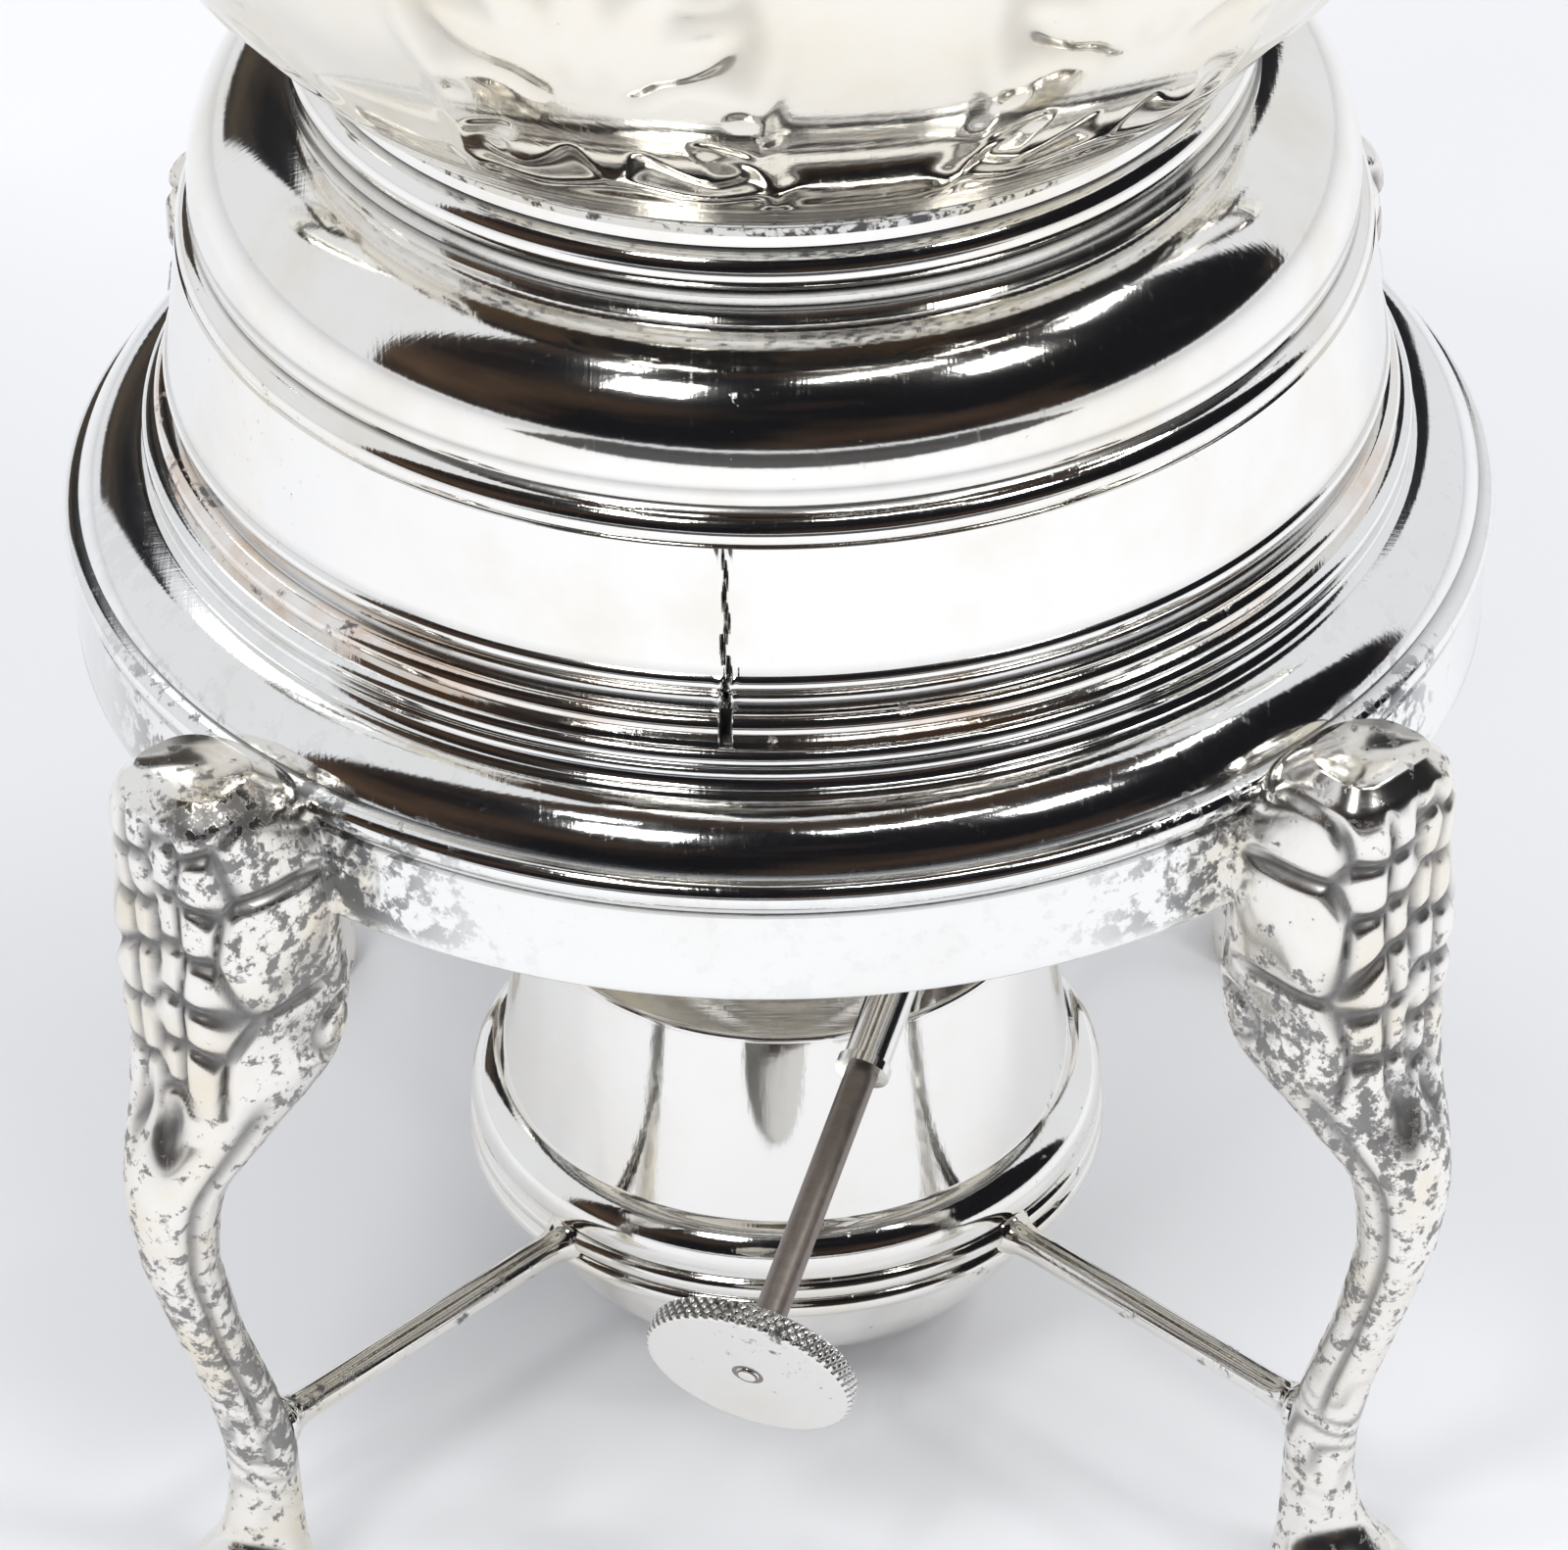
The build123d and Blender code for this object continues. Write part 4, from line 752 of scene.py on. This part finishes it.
finish_piece(turned("foot_spun", run(
    (67.4, 153.5), bulged((67.4, 153.5), (66.2, 156.9), 0.8), (65.8, 157.4), (66.1, 157.9), dome_foot,
    bulged(dome_foot, dome_finish, 3.6), (54.6, 175.2), (53.9, 175.4), (54.2, 175.7), (54.2, 176.6), (53.2, 176.9),
    ((54.5, 179.3), (52.9, 181.6)), (52.5, 181.8), (52.9, 182.2), (53.0, 183.6), (51.0, 183.6), (51.2, 176.6),
    (53.0, 174.0), bulged((53.0, 174.0), (64.8, 159.9), -3.4), (64.5, 157.4), (66.1, 153.5), (67.4, 153.5)),
    relief=foot_lines), "urn", "silver_base", foot_silver, "urn_foot")
joint_silver = silver("joint_solder", (0.80, 0.79, 0.76), tarnish=0.55, size=700.0, tint=0.5, polish=0.32, bump=0.9)
finish_piece(turned("collar_turned", run(
    (53.0, 183.6), (53.1, 185.3), (54.4, 185.6), ((54.9, 186.1), (54.5, 186.6)), (54.3, 186.8),
    bulged((54.3, 186.8), (58.0, 188.3), -0.3), (57.8, 188.6), (53.3, 188.6), (51.0, 183.6), (53.0, 183.6))),
    "urn", "silver_base", joint_silver, "body_collar")


# Body.
# Two raised half globes soldered at the middle, with chased panels of flowers, leaves and scrolls
# between plain bright strips. The ground of each panel is finely stippled and carries painted shade.
body_silver = silver("body_plate", (0.90, 0.865, 0.785), tarnish=0.14, size=300.0, tint=0.30, polish=0.04,
                     dark=(0.16, 0.14, 0.11), tint_colour=(0.80, 0.69, 0.45))
body_middle, body_radius = 249.5754, 84.5
body_low, body_high = 188.6, 307.5754
body_foot_radius, neck_foot_radius = 58.5, 61.4492
inner_radius, inner_floor_high = 83.1, 190.0
panel_count, strip_turn = 8, -81.75
panel_turn = radians(strip_turn + 180 / panel_count)
ground_depth = 0.62


def flower(across, along, size, petals):
    """Raised height of a flower about the middle point."""
    reach = np.hypot(across, along) / size
    half_turn = petals * np.arctan2(along, across) / 2
    petal = 0.70 + 0.30 * np.abs(np.cos(half_turn))
    crease = 0.4 * np.exp(-(np.cos(half_turn) / 0.22) ** 2) + 0.22 * np.exp(-(np.sin(half_turn) / 0.15) ** 2)
    blade = np.clip((petal - reach) / 0.16, 0, 1) * (1 - crease * np.clip(reach * 3, 0, 1)) * (0.5 + 0.5 * reach)
    heart = np.exp(-(reach / 0.17) ** 2)
    ring = 0.6 * np.exp(-((reach - 0.3) / 0.05) ** 2)
    return np.where(reach < petal, blade - ring, 0) + 1.1 * heart


def leaf(across, along, angle, length, width):
    """Raised height of a leaf that starts at the middle point and points along the angle."""
    ahead = across * cos(angle) + along * sin(angle)
    aside = -across * sin(angle) + along * cos(angle)
    part = np.clip(ahead / length, 0.001, 0.999)
    half = width * np.sin(pi * part ** 0.9) ** 0.8
    inside = (ahead > 0) & (ahead < length) & (np.abs(aside) < half)
    vein = 0.5 * np.exp(-(aside / 0.6) ** 2)
    return np.where(inside, np.sqrt(np.clip(1 - (aside / np.maximum(half, 0.01)) ** 2, 0, 1)) - vein, 0)


def scroll(across, along, size, side):
    """Raised height of a rolled scroll."""
    reach = np.hypot(across, along) / size
    turns = (1.6 * reach - side * np.arctan2(along, across) / (2 * pi)) % 1.0
    return np.exp(-((turns - 0.5) / 0.2) ** 2) * np.clip((1 - reach) / 0.15, 0, 1)


def softened(field, times):
    """The field smoothed along and across its grid, round the columns."""
    for _ in range(times):
        field = 0.25 * (np.roll(field, 1, axis=1) + np.roll(field, -1, axis=1)) + 0.5 * field
        field[1:-1] = 0.25 * (field[:-2] + field[2:]) + 0.5 * field[1:-1]
    return field


def chasing(radius, height, around):
    """Raised ornament, dulled ground and engraved lines on the body's outside; the ground and the lines carry painted
    shade.
    """
    outside = np.hypot(radius, height - body_middle) > body_radius - 0.5
    outside &= radius > 57.5
    lift = np.arcsin(np.clip((height - body_middle) / body_radius, -1, 1))
    along = body_radius * (lift - np.arcsin((body_low - body_middle) / body_radius))
    step = 2 * pi / panel_count
    offset = ((around - panel_turn + step / 2) % step) - step / 2
    across = offset * radius
    half = radians(16.3) * radius
    mirrored = np.abs(across)
    wave = half * (0.93 + 0.06 * np.sin(along / 5.2))
    frame_low = 11.0 + 1.8 * np.cos(2 * pi * across / half)
    parts = [0.8 * np.exp(-((mirrored - wave + 1.8) / 1.1) ** 2), 0.55 * np.exp(-((along - frame_low) / 1.5) ** 2)]
    for level_at in (32.0, 76.0):
        up = along - level_at
        parts.append(flower(across, up - 3.0, 7.6, 6))
        for place, turn_by, length, width in (
                (0.0, -1.57, 21.0, 3.6), (2.6, -1.17, 21.5, 3.5), (5.6, -0.72, 17.0, 3.2), (6.5, -0.1, 11.0, 2.8),
                (0.0, 1.57, 18.0, 3.2), (3.0, 1.15, 17.0, 3.2), (5.6, 0.62, 14.0, 3.0)):
            parts.append(leaf(mirrored - place if place else across, up - (3.0 if turn_by > 0 else 0), turn_by,
                              length, width))
        parts.append(scroll(mirrored - 12.6, up - 18.5, 5.2, 1.0))
        parts.append(scroll(mirrored - 11.6, up + 15.5, 4.6, -1.0))
    fade = np.clip((wave + 1.0 - mirrored) / 1.0, 0, 1) * np.clip((along - 5.6) / 1.2, 0, 1)
    fade = fade * np.clip((118 - along) / 4, 0, 1)
    raised = np.maximum.reduce(parts) * fade
    ground = np.clip((wave - mirrored) / 0.8, 0, 1) * np.clip((along - frame_low) / 1.0, 0, 1)
    bare = ground * np.clip(1 - 2.0 * raised, 0, 1) * np.clip((118 - along) / 4, 0, 1)
    stipple = 0.5 + 0.5 * np.sin(5.0 * across) * np.sin(5.0 * along + 2.0 * np.sin(2.0 * across))
    lines = sum(np.exp(-((along - level_at) / 0.3) ** 2) for level_at in (1.6, 2.8, 4.4))
    move = softened(1.15 * raised - 0.35 * bare, 7) - softened(0.05 * stipple * bare + 0.10 * lines, 1)
    # Painted shade on the sunk ground and in the engraved lines.
    shade = np.clip(softened(0.36 * bare * (0.6 + 0.4 * stipple), 4) + 0.35 * lines, 0, 1) * outside
    beaten_in = ground_depth * np.clip(along / 8.0, 0, 1) * np.clip((132 - along) / 6.0, 0, 1)
    move = np.minimum(move - beaten_in, 0.0) * outside
    return radius + move * np.cos(lift), height + move * (height - body_middle) / body_radius, shade


low_lift = atan2(body_low - body_middle, body_foot_radius)
high_lift = atan2(body_high - body_middle, neck_foot_radius)
middle_lift = (low_lift + high_lift) / 2
outer_middle = (body_radius * cos(middle_lift), body_middle + body_radius * sin(middle_lift))
inner_foot = (sqrt(inner_radius ** 2 - (body_middle - inner_floor_high) ** 2), inner_floor_high)
inner_neck = (sqrt(inner_radius ** 2 - (body_high - body_middle) ** 2), body_high)
outer_run = run((57.6, 188.75), (body_foot_radius, 188.75), (outer_middle, (neck_foot_radius, body_high)),
                spacing=0.62)
inner_run = run(inner_neck, ((inner_radius, body_middle), inner_foot), (0.05, inner_floor_high), (0.05, body_low),
                (57.6, body_low), spacing=4.0)
finish_piece(turned("body_chased", outer_run + inner_run, columns=864, relief=chasing),
             "urn", "silver_body", body_silver, "vessel_lower", "vessel_upper")


# Neck.
# A hollow spun neck with a half-round bead at its foot and a rolled mouth, soldered to the body.
upper_silver = silver("upper_plate", (0.93, 0.91, 0.86), tarnish=0.14, size=300.0, tint=0.24)
neck_start, bead_finish = (neck_foot_radius, body_high), (59.85, 310.78)
finish_piece(turned("neck_spun", run(
    neck_start, bulged(neck_start, bead_finish, 1.6), ((45.5, 322.43), (48.6, 331.98)),
    ((50.6, 333.28), (49.4, 334.57)), (47.2, 334.57), ((44.1, 322.43), (58.45, body_high)), neck_start)),
    "urn", "silver_body", upper_silver, "vessel_neck")


# Lid and finial.
# A spun dome with a rolled edge and a lip that drops into the mouth. A turned finial stands on
# a black heat-break disc, held by a nut inside.
lid_top, lid_top_inside, lid_seat = 360.97, 359.57, 334.58
lid_lip_low, lid_lip_radius, lid_lip_inside = 328.58, 43.7, 42.3
stud_radius, stud_low = 2.0, 354.8
lid_edge, dome_tip = (49.0, 336.97), (9.0, lid_top)
finial_foot, finial_ball = (7.2, 364.18), (2.88, 386.54)
finish_piece(turned("lid_spun", run(
    (stud_radius, lid_top), dome_tip, bulged(dome_tip, lid_edge, -5.0), ((52.0, 335.77), (51.2, lid_seat)),
    (lid_lip_radius, lid_seat), (lid_lip_radius, lid_lip_low), (lid_lip_inside, lid_lip_low),
    (lid_lip_inside, lid_seat), bulged((lid_lip_inside, lid_seat), (9.0, lid_top_inside), 3.6),
    (stud_radius, lid_top_inside), (stud_radius, lid_top))), "lid", "silver_body", upper_silver, "lid")
finish_piece(turned("finial_turned", run(
    (0.02, stud_low), (stud_radius, stud_low), (stud_radius, 364.18), finial_foot,
    bulged(finial_foot, (3.456, 369.9), -1.2), (5.28, 373.02), ((9.6, 379.26), finial_ball),
    bulged(finial_ball, (0.77, 390.17), 0.5), (0.02, 390.17), (0.02, stud_low)), columns=120),
    "lid", "silver_body", upper_silver, "finial")


def plain(name, colour, metallic, roughness, scale, depth, fleck):
    """Material with fine unevenness of tone and surface."""
    made, made_nodes, links, shader = material_nodes(name)
    place = made_nodes.new("ShaderNodeTexCoord")
    noise = made_nodes.new("ShaderNodeTexNoise")
    noise.inputs["Scale"].default_value = scale
    noise.inputs["Detail"].default_value = 6.0
    tone = made_nodes.new("ShaderNodeMix")
    tone.data_type = "RGBA"
    tone.inputs[6].default_value = (*colour, 1)
    tone.inputs[7].default_value = (*fleck, 1)
    spread = made_nodes.new("ShaderNodeMapRange")
    spread.inputs["To Min"].default_value = 0.8 * roughness
    spread.inputs["To Max"].default_value = 1.4 * roughness
    relief = made_nodes.new("ShaderNodeBump")
    relief.inputs["Strength"].default_value = 0.4
    relief.inputs["Distance"].default_value = depth
    links.new(place.outputs["Object"], noise.inputs["Vector"])
    links.new(noise.outputs["Fac"], tone.inputs[0])
    links.new(noise.outputs["Fac"], spread.inputs["Value"])
    links.new(noise.outputs["Fac"], relief.inputs["Height"])
    links.new(tone.outputs[2], shader.inputs["Base Color"])
    links.new(spread.outputs[0], shader.inputs["Roughness"])
    links.new(relief.outputs["Normal"], shader.inputs["Normal"])
    shader.inputs["Metallic"].default_value = metallic
    return made


black_disc = plain("black_heat_break", (0.018, 0.015, 0.012), 0.0, 0.22, 180.0, 0.00003, (0.05, 0.035, 0.025))
finish_piece(turned("insulator_turned", run(
    (2.0, 360.98), (7.4, 360.98), ((8.2, 362.58), (7.4, 364.17)), (2.0, 364.17), (2.0, 360.98)), columns=120),
    "lid", "black_insulator", black_disc, "finial_insulator")


# Side handles.
# Each is a bowed round grip on two black discs and two sockets soldered to the body.
# The grip swells a little where the hand holds it.
handle_silver = silver("handle_plate", (0.91, 0.90, 0.86), tarnish=0.26, size=280.0, tint=0.25)
grip_root, grip_elbow, grip_bow = 92.5, 117.5, (122.5, 8.0)
upper_slope, lower_slope = radians(30), radians(-24)
grip_radius, grip_swell = 4.0, 0.19


def rounded(corners, radii, spacing):
    """Points along a path whose corners are rounded."""
    points = [np.array(corners[0], float)]
    for before, corner, after, radius in zip(corners, corners[1:], corners[2:], radii):
        corner = np.array(corner, float)
        back = (np.array(before) - corner) / np.linalg.norm(np.array(before) - corner)
        onward = (np.array(after) - corner) / np.linalg.norm(np.array(after) - corner)
        half = 0.5 * np.arccos(np.clip(back @ onward, -1, 1))
        centre = corner + (back + onward) / np.linalg.norm(back + onward) * radius / sin(half)
        first = corner + back * radius / np.tan(half) - centre
        second = corner + onward * radius / np.tan(half) - centre
        sweep = np.arccos(np.clip(first @ second / radius ** 2, -1, 1))
        for part in np.linspace(0, 1, max(4, int(sweep * radius / spacing))):
            points.append(centre + (first * sin((1 - part) * sweep) + second * sin(part * sweep)) / sin(sweep))
    points.append(np.array(corners[-1], float))
    return np.array(points)


def grip_grid():
    """Points of the grip at +X."""
    upper = np.array((cos(upper_slope), sin(upper_slope)))
    lower = np.array((cos(lower_slope), sin(lower_slope)))
    corners = [upper * grip_root, upper * grip_elbow, np.array(grip_bow), lower * grip_elbow, lower * grip_root]
    route = rounded(corners, (14.0, 60.0, 14.0), 0.8)
    heading = np.gradient(route, axis=0)
    heading /= np.linalg.norm(heading, axis=1)[:, None]
    part = np.linspace(0, 1, len(route))
    thick = grip_radius + grip_swell * np.sin(pi * part) ** 2
    turn_round = np.linspace(0, 2 * pi, 56, endpoint=False)[None, :]
    sideways = thick[:, None] * np.sin(turn_round)
    out = thick[:, None] * np.cos(turn_round)
    grid = np.stack([route[:, :1] - heading[:, 1:] * out, sideways, route[:, 1:] + heading[:, :1] * out
                     + body_middle], axis=-1)
    caps = []
    for row in (0, -1):
        centre = np.array((route[row, 0], 0.0, route[row, 1] + body_middle))
        caps.append((centre + (grid[row] - centre) * 0.03)[None])
    return np.concatenate([caps[0], grid, caps[1]])


for label, angle in (("right", 0), ("left", 180)):
    piece = skin("grip_" + label, swung(grip_grid(), angle), loop_rows=False, sharp=50)
    finish_piece(piece, "urn", "silver_handle", handle_silver, "handle_grip_" + label)
    nodes["handle_sockets_" + label].data.materials.clear()
    nodes["handle_sockets_" + label].data.materials.append(handle_silver)
    nodes["handle_insulators_" + label].data.materials.clear()
    nodes["handle_insulators_" + label].data.materials.append(black_disc)


# Small fittings.
# Tap castings in silver plate, brass nuts and washer, a browned steel spindle in its guide tube
# and post, the sliding flame sleeve and the cotton wick.
tap_silver = silver("tap_plate", (0.90, 0.89, 0.86), tarnish=0.26, size=300.0, tint=0.24, polish=0.08)
fitting_silver = silver("fitting_plate", (0.86, 0.85, 0.82), tarnish=0.34, size=420.0, tint=0.26, polish=0.10)
brown_steel = plain("browned_steel", (0.20, 0.165, 0.145), 0.85, 0.34, 900.0, 0.00005, (0.36, 0.32, 0.29))
brass = plain("bare_brass", (0.72, 0.54, 0.27), 1.0, 0.24, 500.0, 0.00003, (0.50, 0.35, 0.16))
cotton = plain("charred_cotton", (0.62, 0.57, 0.47), 0.0, 0.9, 1400.0, 0.0004, (0.24, 0.20, 0.16))
for material, names in (
        (tap_silver, ("tap_rosette", "tap_body", "tap_plug", "tap_key")),
        (brass, ("tap_shank_nut", "tap_washer", "tap_nut", "finial_nut")),
        (fitting_silver, ("flame_sleeve", "spindle_ferrule", "spindle_bearing")),
        (brown_steel, ("spindle",)),
        (cotton, ("wick",))):
    for name in names:
        nodes[name].data.materials.clear()
        nodes[name].data.materials.append(material)
